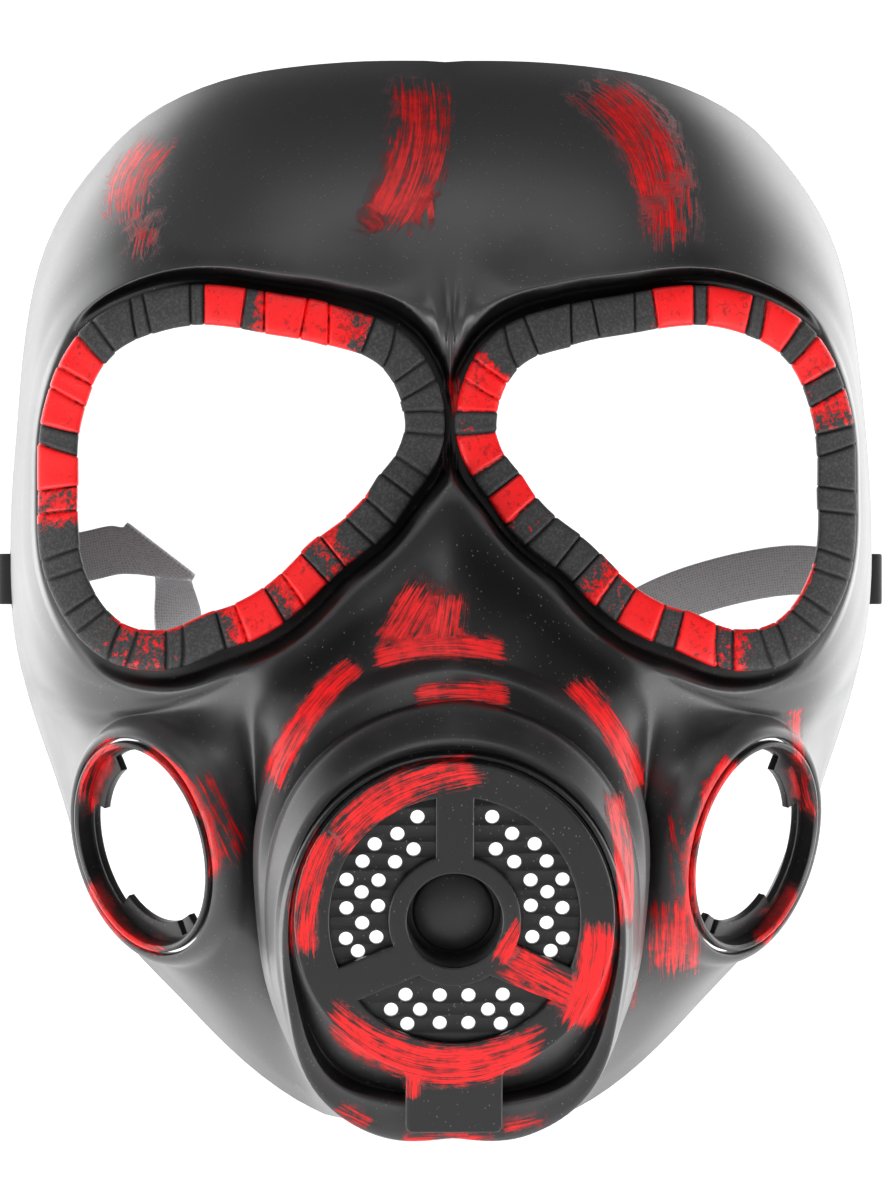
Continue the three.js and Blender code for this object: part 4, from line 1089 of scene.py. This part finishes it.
class Link:
    """A shader socket that can be used in sums."""

    def __init__(self, finish, socket):
        self.finish = finish
        self.socket = socket

    def _with(self, operation, other, swap=False):
        values = [other, self] if swap else [self, other]
        return self.finish.node("ShaderNodeMath", {"operation": operation}, dict(enumerate(values)))

    def __add__(self, other):
        return self._with("ADD", other)

    def __radd__(self, other):
        return self._with("ADD", other, True)

    def __sub__(self, other):
        return self._with("SUBTRACT", other)

    def __rsub__(self, other):
        return self._with("SUBTRACT", other, True)

    def __mul__(self, other):
        return self._with("MULTIPLY", other)


class Finish:
    """A material and the nodes that it is made of."""

    def __init__(self, name):
        self.material = bpy.data.materials.new(name)
        self.material.use_nodes = True
        self.tree = self.material.node_tree
        self.tree.nodes.clear()

    def node(self, kind, settings=None, inputs=None, output=0):
        """Adds a node: its settings first, then the values or links of its sockets."""
        made = self.tree.nodes.new(kind)
        for key, value in (settings or {}).items():
            setattr(made, key, value)
        for key, value in (inputs or {}).items():
            if isinstance(value, Link):
                self.tree.links.new(value.socket, made.inputs[key])
            else:
                made.inputs[key].default_value = value
        return Link(self, made.outputs[output]) if made.outputs else None

    def object_place(self):
        """Object coordinates in millimetres."""
        place = self.node("ShaderNodeTexCoord", output="Object")
        return self.scaled(place, (1 / MM, 1 / MM, 1 / MM))

    def scaled(self, vector, factors):
        return self.node("ShaderNodeVectorMath", {"operation": "MULTIPLY"}, {0: vector, 1: factors})

    def noise(self, vector, scale, detail=4, rough=0.6, warp=0):
        inputs = {"Vector": vector, "Scale": scale, "Detail": detail, "Roughness": rough}
        return self.node("ShaderNodeTexNoise", None, {**inputs, "Distortion": warp})

    def cells(self, vector, scale):
        return self.node("ShaderNodeTexVoronoi", None, {"Vector": vector, "Scale": scale})

    def step(self, value, low, high):
        inputs = {"Value": value, "From Min": low, "From Max": high}
        return self.node("ShaderNodeMapRange", {"interpolation_type": "SMOOTHSTEP"}, inputs)

    def part(self, vector, index):
        return self.node("ShaderNodeSeparateXYZ", None, {0: vector}, index)

    def attribute(self, name, output):
        return self.node("ShaderNodeAttribute", {"attribute_name": name}, output=output)

    def wave(self, value):
        return self.node("ShaderNodeMath", {"operation": "SINE"}, {0: value})

    def mixed(self, factor, a, b):
        return self.node("ShaderNodeMix", {"data_type": "RGBA"}, {0: factor, 6: a, 7: b}, 2)

    def bump(self, height, strength, distance):
        return self.node(
            "ShaderNodeBump", None, {"Height": height, "Strength": strength, "Distance": distance * MM}
        )

    def surface(self, **sockets):
        """The shader itself, joined to the output."""
        named = {key.replace("_", " "): value for key, value in sockets.items()}
        shader = self.node("ShaderNodeBsdfPrincipled", None, named)
        self.node("ShaderNodeOutputMaterial", None, {"Surface": shader})
        return self.material


def rgba(colour, share=1):
    """A colour setting, lighter or darker, as a socket takes it."""
    return (*[min(1, c * share) for c in colour], 1)


def painted(finish, place, base, red, dark_red):
    """Dry-brushed paint over a base: streaks along each stroke, thinner towards its sides and ends."""
    paint = finish.attribute("paint", "Vector")
    cover = finish.part(paint, 2)
    streaks = finish.noise(finish.scaled(paint, (0.06, 1.1, 0)), 1, 5, 0.7, 0.6)
    fine = finish.noise(finish.scaled(paint, (0.12, 3.2, 0)), 1, 3, 0.6)
    spots = finish.noise(place, 0.28, 4, 0.65)
    amount = cover + (streaks - 0.5) * 3.2 + (fine - 0.5) * 1.8 + (spots - 0.5) * 1.4
    there = finish.step(amount, 0.45, 0.75) * finish.step(cover, 0.02, 0.16)
    tone = finish.mixed(finish.step(amount, 0.5, 1.4), dark_red, red)
    return finish.mixed(there, base, tone), there, streaks


def plastic_finish(settings):
    """Satin black moulded plastic: painted shade in hollows and highlight on ridges, fine light specks,
    brushed paint.
    """
    finish = Finish(PLASTIC)
    place = finish.object_place()
    hollow = finish.attribute("hollow", "Fac")
    cloud = finish.noise(place, 0.05, 3, 0.5)
    grain = finish.noise(place, 3.2, 3, 0.7)
    dots = finish.cells(finish.scaled(place, (1, 1, 0.7)), 0.85)
    few = finish.noise(place, 0.13, 2, 0.5)
    speck = (1 - finish.step(dots, 0.06, 0.15)) * finish.step(few, 0.3, 0.6)
    black, hollow_shade, patchy_and_ridge_highlight = [rgba(settings.plastic, share) for share in (1, 0.22, 5)]
    # Lighter in random patches, and lighter on ridges as a painted highlight
    base = finish.mixed(finish.step(cloud - hollow * 2.4, 0.5, 1.2), black, patchy_and_ridge_highlight)
    # Painted shade: blacker the deeper a place lies in a hollow
    base = finish.mixed(finish.step(hollow, -0.03, 0.3), base, hollow_shade)
    base = finish.mixed(speck * 0.6, base, (0.22, 0.22, 0.23, 1))
    red, dark_red = rgba(settings.paint), rgba(settings.paint, 0.3)
    colour, there, streaks = painted(finish, place, base, red, dark_red)
    rough = 0.27 + cloud * 0.1 + grain * 0.1 + there * 0.08
    height = grain * 0.35 + there * (0.5 + streaks * 0.8) + speck * 0.4
    return finish.surface(
        Base_Color=colour,
        Roughness=rough,
        Normal=finish.bump(height, 0.35, 0.12),
        Specular_IOR_Level=0.5,
    )


def rim_finish(settings):
    """Matte dark wrapped band with painted glints and painted shade in its cuts, its red segments by
    attribute.
    """
    finish = Finish("wrapped band")
    place = finish.object_place()
    grain = finish.noise(place, 1.6, 5, 0.65)
    cloud = finish.noise(place, 0.25, 3, 0.5)
    base = finish.mixed(finish.step(grain, 0.4, 0.75), rgba(settings.wrap), rgba(settings.wrap, 2.6))
    # Painted glints: small light spots in the band's colour
    painted_glint = finish.noise(place, 0.9, 4, 0.75, 1.5)
    base = finish.mixed(finish.step(painted_glint, 0.66, 0.74) * 0.5, base, (0.2, 0.2, 0.2, 1))
    paint = finish.attribute("segment", "Vector")
    cover, sunk = finish.part(paint, 0), finish.part(paint, 1)
    chips = finish.noise(place, 0.75, 5, 0.7, 0.6)
    streaks = finish.noise(place, 0.35, 4, 0.65, 1.2)
    amount = cover + (chips - 0.5) * 1.7 + (streaks - 0.5) * 1.3 - sunk * 0.35
    there = finish.step(amount, 0.42, 0.5) * finish.step(cover, 0.05, 0.2)
    tone = finish.mixed(finish.step(amount, 0.5, 0.85), rgba(settings.paint, 0.5), rgba(settings.paint))
    # Painted shade: darker deep in the cuts between segments
    base = finish.mixed(sunk * 0.75, base, (0.004, 0.004, 0.004, 1))
    colour = finish.mixed(there, base, tone)
    rough = 0.62 - there * 0.2 + cloud * 0.08
    height = grain * 0.5 + chips * 0.8 + there * 0.5
    return finish.surface(
        Base_Color=colour,
        Roughness=rough,
        Normal=finish.bump(height, 0.5, 0.2),
        Specular_IOR_Level=0.45,
    )


def elastic_finish(settings):
    """Woven elastic with fine ribs along it, black over a stretch at each end."""
    finish = Finish("woven elastic")
    weave = finish.node("ShaderNodeUVMap", {"uv_map": "weave"})
    along, across = finish.part(weave, 0), finish.part(weave, 1)
    ribs, picks = [finish.wave(way * (TURN * 1.6)) for way in (across, along)]
    fuzz = finish.noise(finish.object_place(), 2.4, 4, 0.7)
    shade = finish.step(ribs * 0.1 + picks * 0.1 + fuzz, 0.1, 0.6)
    colour = finish.mixed(shade, rgba(settings.elastic, 0.5), rgba(settings.elastic))
    # Black over a stretch at each end of the strap
    ends = finish.attribute("black_end", "Fac")
    colour = finish.mixed(ends, colour, (0.008, 0.008, 0.009, 1))
    return finish.surface(
        Base_Color=colour,
        Roughness=0.7 + fuzz * 0.15,
        Normal=finish.bump(ribs * 0.5 + picks * 0.3 + fuzz * 0.4, 0.2, 0.08),
        Specular_IOR_Level=0.35,
    )


def stage_finish(settings):
    """Pale paper that glows behind and beside the mask and is duller where the camera stands."""
    finish = Finish("stage paper")
    place = finish.node("ShaderNodeTexCoord", output="Object")
    behind = finish.step(finish.part(place, 1) - finish.part(place, 2) * 1.2, -2, 0.45)
    dull, pale = (0.03, 0.03, 0.03, 1), (0.88, 0.88, 0.88, 1)
    return finish.surface(
        Base_Color=finish.mixed(behind, dull, pale),
        Roughness=0.9,
        Emission_Color=finish.mixed(behind, (0, 0, 0, 1), (1, 1, 1, 1)),
        Emission_Strength=settings.glow,
    )


def length_setting(name, about, size, digits=5):
    """A length in the panel, given in millimetres."""
    return FloatProperty(name=name, description=about, default=size * MM, unit="LENGTH", precision=digits)


def colour_setting(name, about, value):
    return FloatVectorProperty(name=name, description=about, default=value, subtype="COLOR")


def power_setting(name, about, value):
    return FloatProperty(name=name, description=about, default=value, min=0)


class MaskSizes(bpy.types.PropertyGroup):
    wall: length_setting("Wall", "Thickness of the shell", 2.2, 4)
    bevel: length_setting("Cap bevel", "Bevel of the cap's edges", 0.35)
    groove: length_setting("Groove", "Depth of the cuts in the rims", 0.9)
    rounds: IntProperty(name="Inner rounds", description="How smooth the shell is inside", default=8, min=0)


class MaskColours(bpy.types.PropertyGroup):
    plastic: colour_setting("Plastic", "Moulded plastic", (0.0095, 0.0095, 0.01))
    paint: colour_setting("Paint", "Brushed paint", (0.98, 0.008, 0.01))
    wrap: colour_setting("Wrap", "Wrapped eye rims", (0.026, 0.026, 0.027))
    elastic: colour_setting("Elastic", "Strap", (0.85, 0.86, 0.88))


class MaskStage(bpy.types.PropertyGroup):
    glow: power_setting("Glow", "How much the backdrop lights itself", 0.75)
    side: power_setting("Side light", "Power of each side light", 8)
    top: power_setting("Top light", "Power of the light above", 2)
    front: power_setting("Front light", "Power of the light in front", 2.4)


class MASK_OT_shell(bpy.types.Operator):
    """Builds the moulded face shell"""

    bl_idname = "mask.shell"
    bl_label = "Face shell"

    def execute(self, context):
        sizes = context.scene.mask_sizes
        bm = shell_sheet(Seams())
        walled(bm, sizes.wall / MM, sizes.rounds)
        shell = refined(piece("mask_shell", bm))
        for side in (1, -1):
            cutter = bmesh.new()
            bmesh.ops.create_cube(cutter, size=1)
            room = (SLOT_THROUGH, SLOT_LONG, STRAP_WIDTH + 2 * SLOT_ROOM)
            bmesh.ops.scale(cutter, vec=room, verts=cutter.verts)
            spot = (side * HALF_WIDTH, -SLOT_FORWARD, STRAP_UP)
            bmesh.ops.translate(cutter, vec=spot, verts=cutter.verts)
            slot = piece("slot", cutter)
            cut = shell.modifiers.new("Slot", "BOOLEAN")
            cut.operation = "DIFFERENCE"
            cut.object = slot
            settled(shell)
            bpy.data.objects.remove(slot)
        creased(shell, 50)
        # Depth in hollows, for the painted shade in hollows and painted highlight on ridges
        hollow_on(shell, HOLLOW_ROUNDS)
        in_plastic(context, shell, "face_shell", STROKES)
        return {"FINISHED"}


def in_plastic(context, made, node, strokes=()):
    """Paints a piece and seats it in the one plastic material, made for the first piece that asks."""
    paint_on(made, strokes)
    material = bpy.data.materials.get(PLASTIC) or plastic_finish(context.scene.mask_colours)
    seated(made, [node], material)


def rim_stations(name, groove, seed):
    """Rows of points across a rim, with how deep each row lies in a cut and how much paint covers it."""
    rng = random.Random(seed)
    side = 1 if name == "left" else -1
    first = {**RIM_SEGMENTS[0]}
    for key in ("outer", "inner"):
        first[key] += 360
    stations = []
    for start, end in zip(RIM_SEGMENTS, [*RIM_SEGMENTS[1:], first]):
        turn = math.radians(end["outer"] + end["inner"] - start["outer"] - start["inner"]) / 2
        long = turn * (eye_edge(math.radians(start["outer"])) + RIM_BAND / 2)
        rise = rng.uniform(-0.12, 0.12) + (0.2 if long < RIM_NARROW else 0)
        tilt, swell = rng.uniform(-0.12, 0.12), rng.uniform(-0.18, 0.14)
        flank = [{**row, "at": row["away"] / long} for row in RIM_FLANK]
        rows = [*flank, *RIM_MIDDLE, *[{**row, "at": 1 - row["at"]} for row in flank[:0:-1]]]
        for row in rows:
            at, cut = row["at"], max(0, row["sunk"])
            outer, inner = [math.radians(lerp(start[key], end[key], at)) for key in ("outer", "inner")]
            points = []
            for share, depth in RIM_PROFILE:
                direction = lerp(inner, outer, clamp(share, 0, 1))
                edge = swell * (1 - cut) - 0.25 * cut
                wide = share * RIM_BAND + (edge if share > 0.5 else -edge)
                flat = eye_edge.point(direction) + eye_edge.out(direction, 0.04) * wide
                x, z = EYE_ACROSS + flat.x, EYE_UP + flat.y
                sink = groove * row["sunk"] + (1 - cut) * (rise + tilt * (at - 0.5))
                points.append(Vector((side * x, rim_front(x, z) + depth * RIM_THICK + sink * (1 - depth), z)))
            cover = lerp(*start[name], at)
            stations.append({"points": points, "sunk": cut, "cover": cover, "turn": math.degrees(outer)})
    return stations


class MASK_OT_rims(bpy.types.Operator):
    """Builds the two wrapped eye rims"""

    bl_idname = "mask.rims"
    bl_label = "Eye rims"

    def execute(self, context):
        sizes = context.scene.mask_sizes
        material = rim_finish(context.scene.mask_colours)
        for seed, name in enumerate(("left", "right")):
            stations = rim_stations(name, sizes.groove / MM, seed + 3)
            bm = bmesh.new()
            sunk = bm.verts.layers.float.new("sunk")
            cover = bm.verts.layers.float.new("cover")
            rows = [[*station["points"], station["points"][0]] for station in stations]
            for vert, i, k in laid_grid(bm, rows, True):
                station = stations[i % len(stations)]
                vert[sunk] = station["sunk"]
                vert[cover] = station["cover"]
                low, high = RIM_INSIDE_PAINT[name]
                if RIM_PROFILE[k % len(RIM_PROFILE)][0] < 0.05 and low < station["turn"] < high:
                    vert[cover] = 0.9
            cleaned(bm, RIM_MERGE)
            rim = refined(piece(f"eye_wrap_{name}", bm))
            mesh = rim.data
            layer = mesh.attributes.new("segment", "FLOAT_VECTOR", "POINT")
            values = np.zeros((len(mesh.vertices), 3), np.float32)
            for column, key in enumerate(("cover", "sunk")):
                read = np.zeros(len(mesh.vertices), np.float32)
                mesh.attributes[key].data.foreach_get("value", read)
                values[:, column] = read
            layer.data.foreach_set("vector", values.ravel())
            creased(rim, 55)
            seated(rim, [f"eye_rim_{name}"], material)
        return {"FINISHED"}


def cap_window(start, shift_start, end, shift_end):
    """One window between two straight edges that run outwards, each shifted aside into the window."""

    def first(radius):
        return start + math.asin(shift_start / radius)

    def last(radius):
        return end - math.asin(shift_end / radius)

    outer, inner = CAP_WINDOW_OUTER, CAP_WINDOW_INNER
    return [
        *arc(0, 0, outer, first(outer), last(outer), 26),
        *arc(0, 0, inner, last(inner), first(inner), 14),
    ]


class MASK_OT_cap(bpy.types.Operator):
    """Builds the snout cap with its windows, tab and well"""

    bl_idname = "mask.cap"
    bl_label = "Snout cap"

    def execute(self, context):
        half = TAB_WIDTH / 2
        foot = TAB_REACH - TAB_ROUND
        turn_x = half + TAB_FILLET
        turn_y = -math.sqrt((CAP_RADIUS + TAB_FILLET) ** 2 - turn_x**2)
        meet = math.atan2(turn_x, -turn_y)
        inward = math.pi / 2 - meet
        up, low, other_low = math.pi / 2, -SPOKE_DROP, math.pi + SPOKE_DROP
        outlines = [
            [
                *arc(0, 0, CAP_RADIUS, meet - math.pi / 2, 1.5 * math.pi - meet, 110),
                *arc(-turn_x, turn_y, TAB_FILLET, inward, 0, 6)[1:],
                *arc(-half + TAB_ROUND, -foot, TAB_ROUND, math.pi, 1.5 * math.pi, 6),
                *arc(half - TAB_ROUND, -foot, TAB_ROUND, 1.5 * math.pi, TURN, 6),
                *arc(turn_x, turn_y, TAB_FILLET, math.pi, math.pi - inward, 6)[:-1],
            ],
            cap_window(low, 0, up, CAP_SPOKE / 2),
            cap_window(up, CAP_SPOKE / 2, other_low, 0),
            cap_window(other_low, CAP_SPOKE, low + TURN, CAP_SPOKE),
            circle(0, 0, CAP_BORE, 72),
        ]
        bm = flat_plate(outlines, CAP_THICK, context.scene.mask_sizes.bevel / MM)
        gridded(bm, PAINT_GRID)
        well = bmesh.new()
        floor = -WELL_DEPTH - BUTTON_BASE
        spun(
            well,
            [
                (CAP_BORE, floor),
                (CAP_BORE + WELL_WALL, floor),
                (CAP_BORE + WELL_WALL, -CAP_THICK / 2),
                (CAP_BORE, -CAP_THICK / 2),
            ],
            72,
        )
        add_mesh(bm, well)
        bmesh.ops.transform(bm, matrix=snout_place(0), verts=bm.verts)
        cap = creased(piece("snout_cap", bm), 32)
        # Depth in hollows, for the painted shade in hollows and painted highlight on ridges
        hollow_on(cap, CAP_HOLLOW_ROUNDS)
        in_plastic(context, cap, "front_cap", STROKES)
        return {"FINISHED"}


def add_mesh(bm, other):
    """Adds another mesh's faces to this one."""
    carrier = bpy.data.meshes.new("carrier")
    other.to_mesh(carrier)
    other.free()
    bm.from_mesh(carrier)
    bpy.data.meshes.remove(carrier)


class MASK_OT_grille(bpy.types.Operator):
    """Builds the perforated grille behind the cap"""

    bl_idname = "mask.grille"
    bl_label = "Grille"

    def execute(self, context):
        outlines = [circle(0, 0, CAP_RADIUS - GRILLE_INSET, 96)]
        outlines.append(circle(0, 0, CAP_BORE + WELL_WALL + GAP, 64))
        for hole in GRILLE_HOLES:
            direction, reach = math.radians(hole["turn"]), hole["radius"] * CAP_RADIUS
            for side in (1, -1):
                x, y = side * reach * math.sin(direction), reach * math.cos(direction)
                outlines.append(circle(x, y, GRILLE_HOLE, 20))
        bm = flat_plate(outlines, GRILLE_THICK, GRILLE_BEVEL)
        bmesh.ops.transform(bm, matrix=snout_place(CAP_THICK + GAP), verts=bm.verts)
        grille = creased(piece("snout_grille", bm), 32)
        # Painted shade: the whole grille is made as dark as a deep hollow
        hollow_on(grille, 0, GRILLE_PAINTED_SHADE)
        in_plastic(context, grille, "grille_plate")
        return {"FINISHED"}


class MASK_OT_button(bpy.types.Operator):
    """Builds the domed valve button"""

    bl_idname = "mask.button"
    bl_label = "Valve button"

    def execute(self, context):
        base = CAP_BORE + WELL_WALL / 4
        dome = between(
            10,
            0,
            math.pi / 2,
            lambda turn: (
                (BUTTON_RADIUS - BUTTON_SHOULDER) * math.cos(turn) + BUTTON_SHOULDER * (1 - math.sin(turn)),
                BUTTON_HEIGHT * (0.45 + 0.55 * math.sin(turn)),
            ),
        )
        profile = [(0, -BUTTON_BASE), (base, -BUTTON_BASE), (base, -0.25), (base - BUTTON_STEP, 0)]
        profile += [(BUTTON_RADIUS + BUTTON_STEP, 0), (BUTTON_RADIUS, BUTTON_STEP), *dome]
        profile[-1] = (0, BUTTON_HEIGHT)
        bm = bmesh.new()
        spun(bm, profile, 64)
        bmesh.ops.transform(bm, matrix=snout_place(WELL_DEPTH), verts=bm.verts)
        button = creased(piece("snout_button", bm), 40)
        # Painted highlight: the whole button is made lighter, as a ridge
        hollow_on(button, 0, -BUTTON_PAINTED_SHINE)
        in_plastic(context, button, "valve_button")
        return {"FINISHED"}


def lug_outline():
    """The bore of a socket's flange with its bayonet lugs standing into it."""
    kept = []
    for turn in range(0, 360, 4):
        if not any(lug["from"] - 1 <= turn <= lug["to"] + 1 for lug in LUGS):
            kept.append((turn, PORT_BORE))
    for lug in LUGS:
        kept += [(lug["from"], PORT_BORE), (lug["to"], PORT_BORE)]
        steps = max(2, round((lug["to"] - lug["from"]) / 4))
        crest = between(steps, lug["from"] + 0.6, lug["to"] - 0.6, float)
        kept += [(turn, PORT_BORE - LUG_REACH) for turn in crest]
    kept.sort()
    return [
        (radius * math.sin(math.radians(turn)), radius * math.cos(math.radians(turn)))
        for turn, radius in kept
    ]


class MASK_OT_sockets(bpy.types.Operator):
    """Builds the two empty filter sockets"""

    bl_idname = "mask.sockets"
    bl_label = "Filter sockets"

    def execute(self, context):
        tail = PORT_RADIUS - 0.75 * PORT_WALL
        for name, side in (("left", 1), ("right", -1)):
            bm = flat_plate([circle(0, 0, tail, 96), lug_outline()], FLANGE_THICK, FLANGE_BEVEL)
            bmesh.ops.translate(bm, vec=(0, 0, FLANGE_THICK - PORT_DEPTH), verts=bm.verts)
            tube = bmesh.new()
            spun(
                tube,
                [
                    (PORT_RADIUS - PORT_WALL, FLANGE_THICK / 2 - PORT_DEPTH),
                    (tail, FLANGE_THICK / 2 - PORT_DEPTH),
                    (PORT_RADIUS, -PORT_WALL),
                    (PORT_RADIUS, 0),
                    (PORT_RADIUS - 0.14 * PORT_WALL, 0.26 * PORT_WALL),
                    (PORT_RADIUS - 0.43 * PORT_WALL, 0.36 * PORT_WALL),
                    (PORT_RADIUS - 0.8 * PORT_WALL, 0.22 * PORT_WALL),
                    (PORT_RADIUS - PORT_WALL, 0),
                ],
                96,
            )
            add_mesh(bm, tube)
            bmesh.ops.transform(bm, matrix=port_place(), verts=bm.verts)
            if side < 0:
                bmesh.ops.scale(bm, vec=(-1, 1, 1), verts=bm.verts)
                bmesh.ops.reverse_faces(bm, faces=bm.faces)
            ring = creased(piece(f"filter_socket_{name}", bm), 35)
            in_plastic(context, ring, f"port_ring_{name}", STROKES)
        return {"FINISHED"}


def strap_rows():
    """Middle and half width of the strap at each row of its run, from the wearer's right end to the left."""

    def end(side):
        places = []
        for row in STRAP_END:
            across, behind, up = [row[key] * SLOT_FORWARD for key in ("across", "behind", "up")]
            places.append((Vector((side * (HALF_WIDTH - across), behind, STRAP_UP + up)), upright))
        return places

    def free(rows):
        return [
            (Vector(row["at"]) * HALF_WIDTH, Vector(row["lean"]).normalized() * STRAP_WIDTH / 2)
            for row in rows
        ]

    upright = Vector((0, 0, STRAP_WIDTH / 2))
    turn, radius = STRAP_FOLD["turn"], STRAP_FOLD["radius"] * STRAP_THICK
    along = Vector((math.cos(turn), 0, math.sin(turn)))
    beyond = Vector((math.sin(turn), 0, -math.cos(turn)))
    fold = []
    for bend in between(4, 0, math.pi, float):
        at = Vector(STRAP_FOLD["at"]) * HALF_WIDTH + Vector((0, radius * (1 - math.cos(bend)), 0))
        at += beyond * radius * (math.sin(bend) - 1)
        fold.append((at, along * STRAP_FOLD["long"] * STRAP_WIDTH))
    return [*end(-1), *free(STRAP_RUN), *fold, *free(STRAP_DROP), *end(1)[::-1]]


class MASK_OT_strap(bpy.types.Operator):
    """Builds the slack elastic strap with its sewn ends"""

    bl_idname = "mask.strap"
    bl_label = "Strap"

    def execute(self, context):
        rows = strap_rows()
        middles = [at for at, _ in rows]
        edges = [at + half for at, half in rows]
        count = 5 * (len(rows) - 1)
        section = [(1, 0.4), (0.985, 0.85), (0.9, 1), (0.45, 1), (0, 1), (-0.45, 1), (-0.9, 1)]
        section += [(-0.985, 0.85), (-1, 0.4)]
        section += [(w, -t) for w, t in section[::-1]]
        section.append(section[0])
        grid, run = [], [0]
        for i in range(count + 1):
            u = i / count
            at = catmull(middles, u)
            half = catmull(edges, u) - at
            ahead = catmull(middles, min(1, u + 1e-3)) - catmull(middles, max(0, u - 1e-3))
            out = ahead.cross(half).normalized() * STRAP_THICK / 2
            grid.append([at + half * w + out * t for w, t in section])
            if i:
                run.append(run[-1] + (at - last).length)
            last = at
        bm = bmesh.new()
        black_end = bm.verts.layers.float.new("black_end")
        weave = bm.loops.layers.uv.new("weave")
        length = run[-1]
        marks = {}
        for vert, i, k in laid_grid(bm, grid, False):
            marks[vert] = (run[i], section[k][0] * STRAP_WIDTH / 2)
            from_end = min(run[i], length - run[i])
            # Black over a stretch at each end of the strap
            vert[black_end] = 1 - smoothstep(from_end, BLACK_END_LONG, BLACK_END_LONG + BLACK_END_FADE)
        for face in bm.faces:
            for loop in face.loops:
                loop[weave].uv = marks[loop.vert]
        bmesh.ops.remove_doubles(bm, verts=bm.verts, dist=MERGE)
        bmesh.ops.holes_fill(bm, edges=[edge for edge in bm.edges if edge.is_boundary], sides=0)
        bmesh.ops.recalc_face_normals(bm, faces=bm.faces)
        strap = creased(piece("elastic_strap", bm), 60)
        seated(strap, ["strap"], elastic_finish(context.scene.mask_colours))
        return {"FINISHED"}


class MASK_OT_stage(bpy.types.Operator):
    """Builds the pale floor with its swept backdrop, the lights and the camera"""

    bl_idname = "mask.stage"
    bl_label = "Stage"

    def execute(self, context):
        scene, stage = context.scene, context.scene.mask_stage
        bm = bmesh.new()
        flat = STAGE_REACH - STAGE_BEND
        profile = [(STAGE_START, STAGE_FLOOR), (flat, STAGE_FLOOR)]
        profile += arc(flat, STAGE_FLOOR + STAGE_BEND, STAGE_BEND, -math.pi / 2, 0, 10)[1:]
        profile.append((STAGE_REACH, STAGE_HEIGHT))
        revolved(bm, profile, 96)
        bmesh.ops.scale(bm, vec=(1 / MM, 1 / MM, 1 / MM), verts=bm.verts)
        floor_piece = piece("stage_floor", bm)
        floor_piece.data.materials.append(stage_finish(stage))

        world = bpy.data.worlds.new("studio")
        world.use_nodes = True
        sky = world.node_tree.nodes["Background"]
        sky.inputs["Color"].default_value = (1, 1, 1, 1)
        sky.inputs["Strength"].default_value = SKY_GLOW
        scene.world = world
        for row in LIGHTS:
            light = bpy.data.lights.new(row["name"], "AREA")
            light.shape = "RECTANGLE"
            light.size, light.size_y = row["size"]
            light.energy = getattr(stage, row["power"]) * row["share"]
            lamp = bpy.data.objects.new(row["name"], light)
            lamp.location = row["at"]
            away = Vector(LIGHTS_AIM) - Vector(row["at"])
            lamp.rotation_euler = away.to_track_quat("-Z", "Y").to_euler()
            scene.collection.objects.link(lamp)

        camera = bpy.data.cameras.new("camera")
        camera.lens = SENSOR / VIEW_TALL
        camera.sensor_width = SENSOR
        camera.clip_start = 0.05
        viewer = bpy.data.objects.new("camera", camera)
        back = Vector((math.sin(VIEW_TURN), -math.cos(VIEW_TURN), 0))
        viewer.location = Vector(VIEW_MIDDLE) + back * VIEW_AWAY
        viewer.rotation_euler = (-back).to_track_quat("-Z", "Y").to_euler()
        scene.collection.objects.link(viewer)
        scene.camera = viewer
        scene.view_settings.view_transform = "Standard"
        return {"FINISHED"}


BUILDERS = (
    MASK_OT_shell,
    MASK_OT_rims,
    MASK_OT_cap,
    MASK_OT_grille,
    MASK_OT_button,
    MASK_OT_sockets,
    MASK_OT_strap,
    MASK_OT_stage,
)


class MASK_PT_panel(bpy.types.Panel):
    """Lists the pieces of the mask"""

    bl_idname = "MASK_PT_panel"
    bl_label = "Costume mask"
    bl_space_type = "VIEW_3D"
    bl_region_type = "UI"
    bl_category = "Mask"

    def draw(self, context):
        scene = context.scene
        for group in (scene.mask_sizes, scene.mask_colours, scene.mask_stage):
            for key in group.bl_rna.properties.keys():
                if key not in ("rna_type", "name"):
                    self.layout.prop(group, key)
        for builder in BUILDERS:
            self.layout.operator(builder.bl_idname)


CLASSES = (MaskSizes, MaskColours, MaskStage, *BUILDERS, MASK_PT_panel)


def register():
    for cls in CLASSES:
        bpy.utils.register_class(cls)
    bpy.types.Scene.mask_sizes = PointerProperty(type=MaskSizes)
    bpy.types.Scene.mask_colours = PointerProperty(type=MaskColours)
    bpy.types.Scene.mask_stage = PointerProperty(type=MaskStage)


def unregister():
    del bpy.types.Scene.mask_stage
    del bpy.types.Scene.mask_colours
    del bpy.types.Scene.mask_sizes
    for cls in reversed(CLASSES):
        bpy.utils.unregister_class(cls)


def main():
    register()
    bpy.ops.mask.shell()
    bpy.ops.mask.rims()
    bpy.ops.mask.cap()
    bpy.ops.mask.grille()
    bpy.ops.mask.button()
    bpy.ops.mask.sockets()
    bpy.ops.mask.strap()
    bpy.ops.mask.stage()


if __name__ == "__main__":
    main()
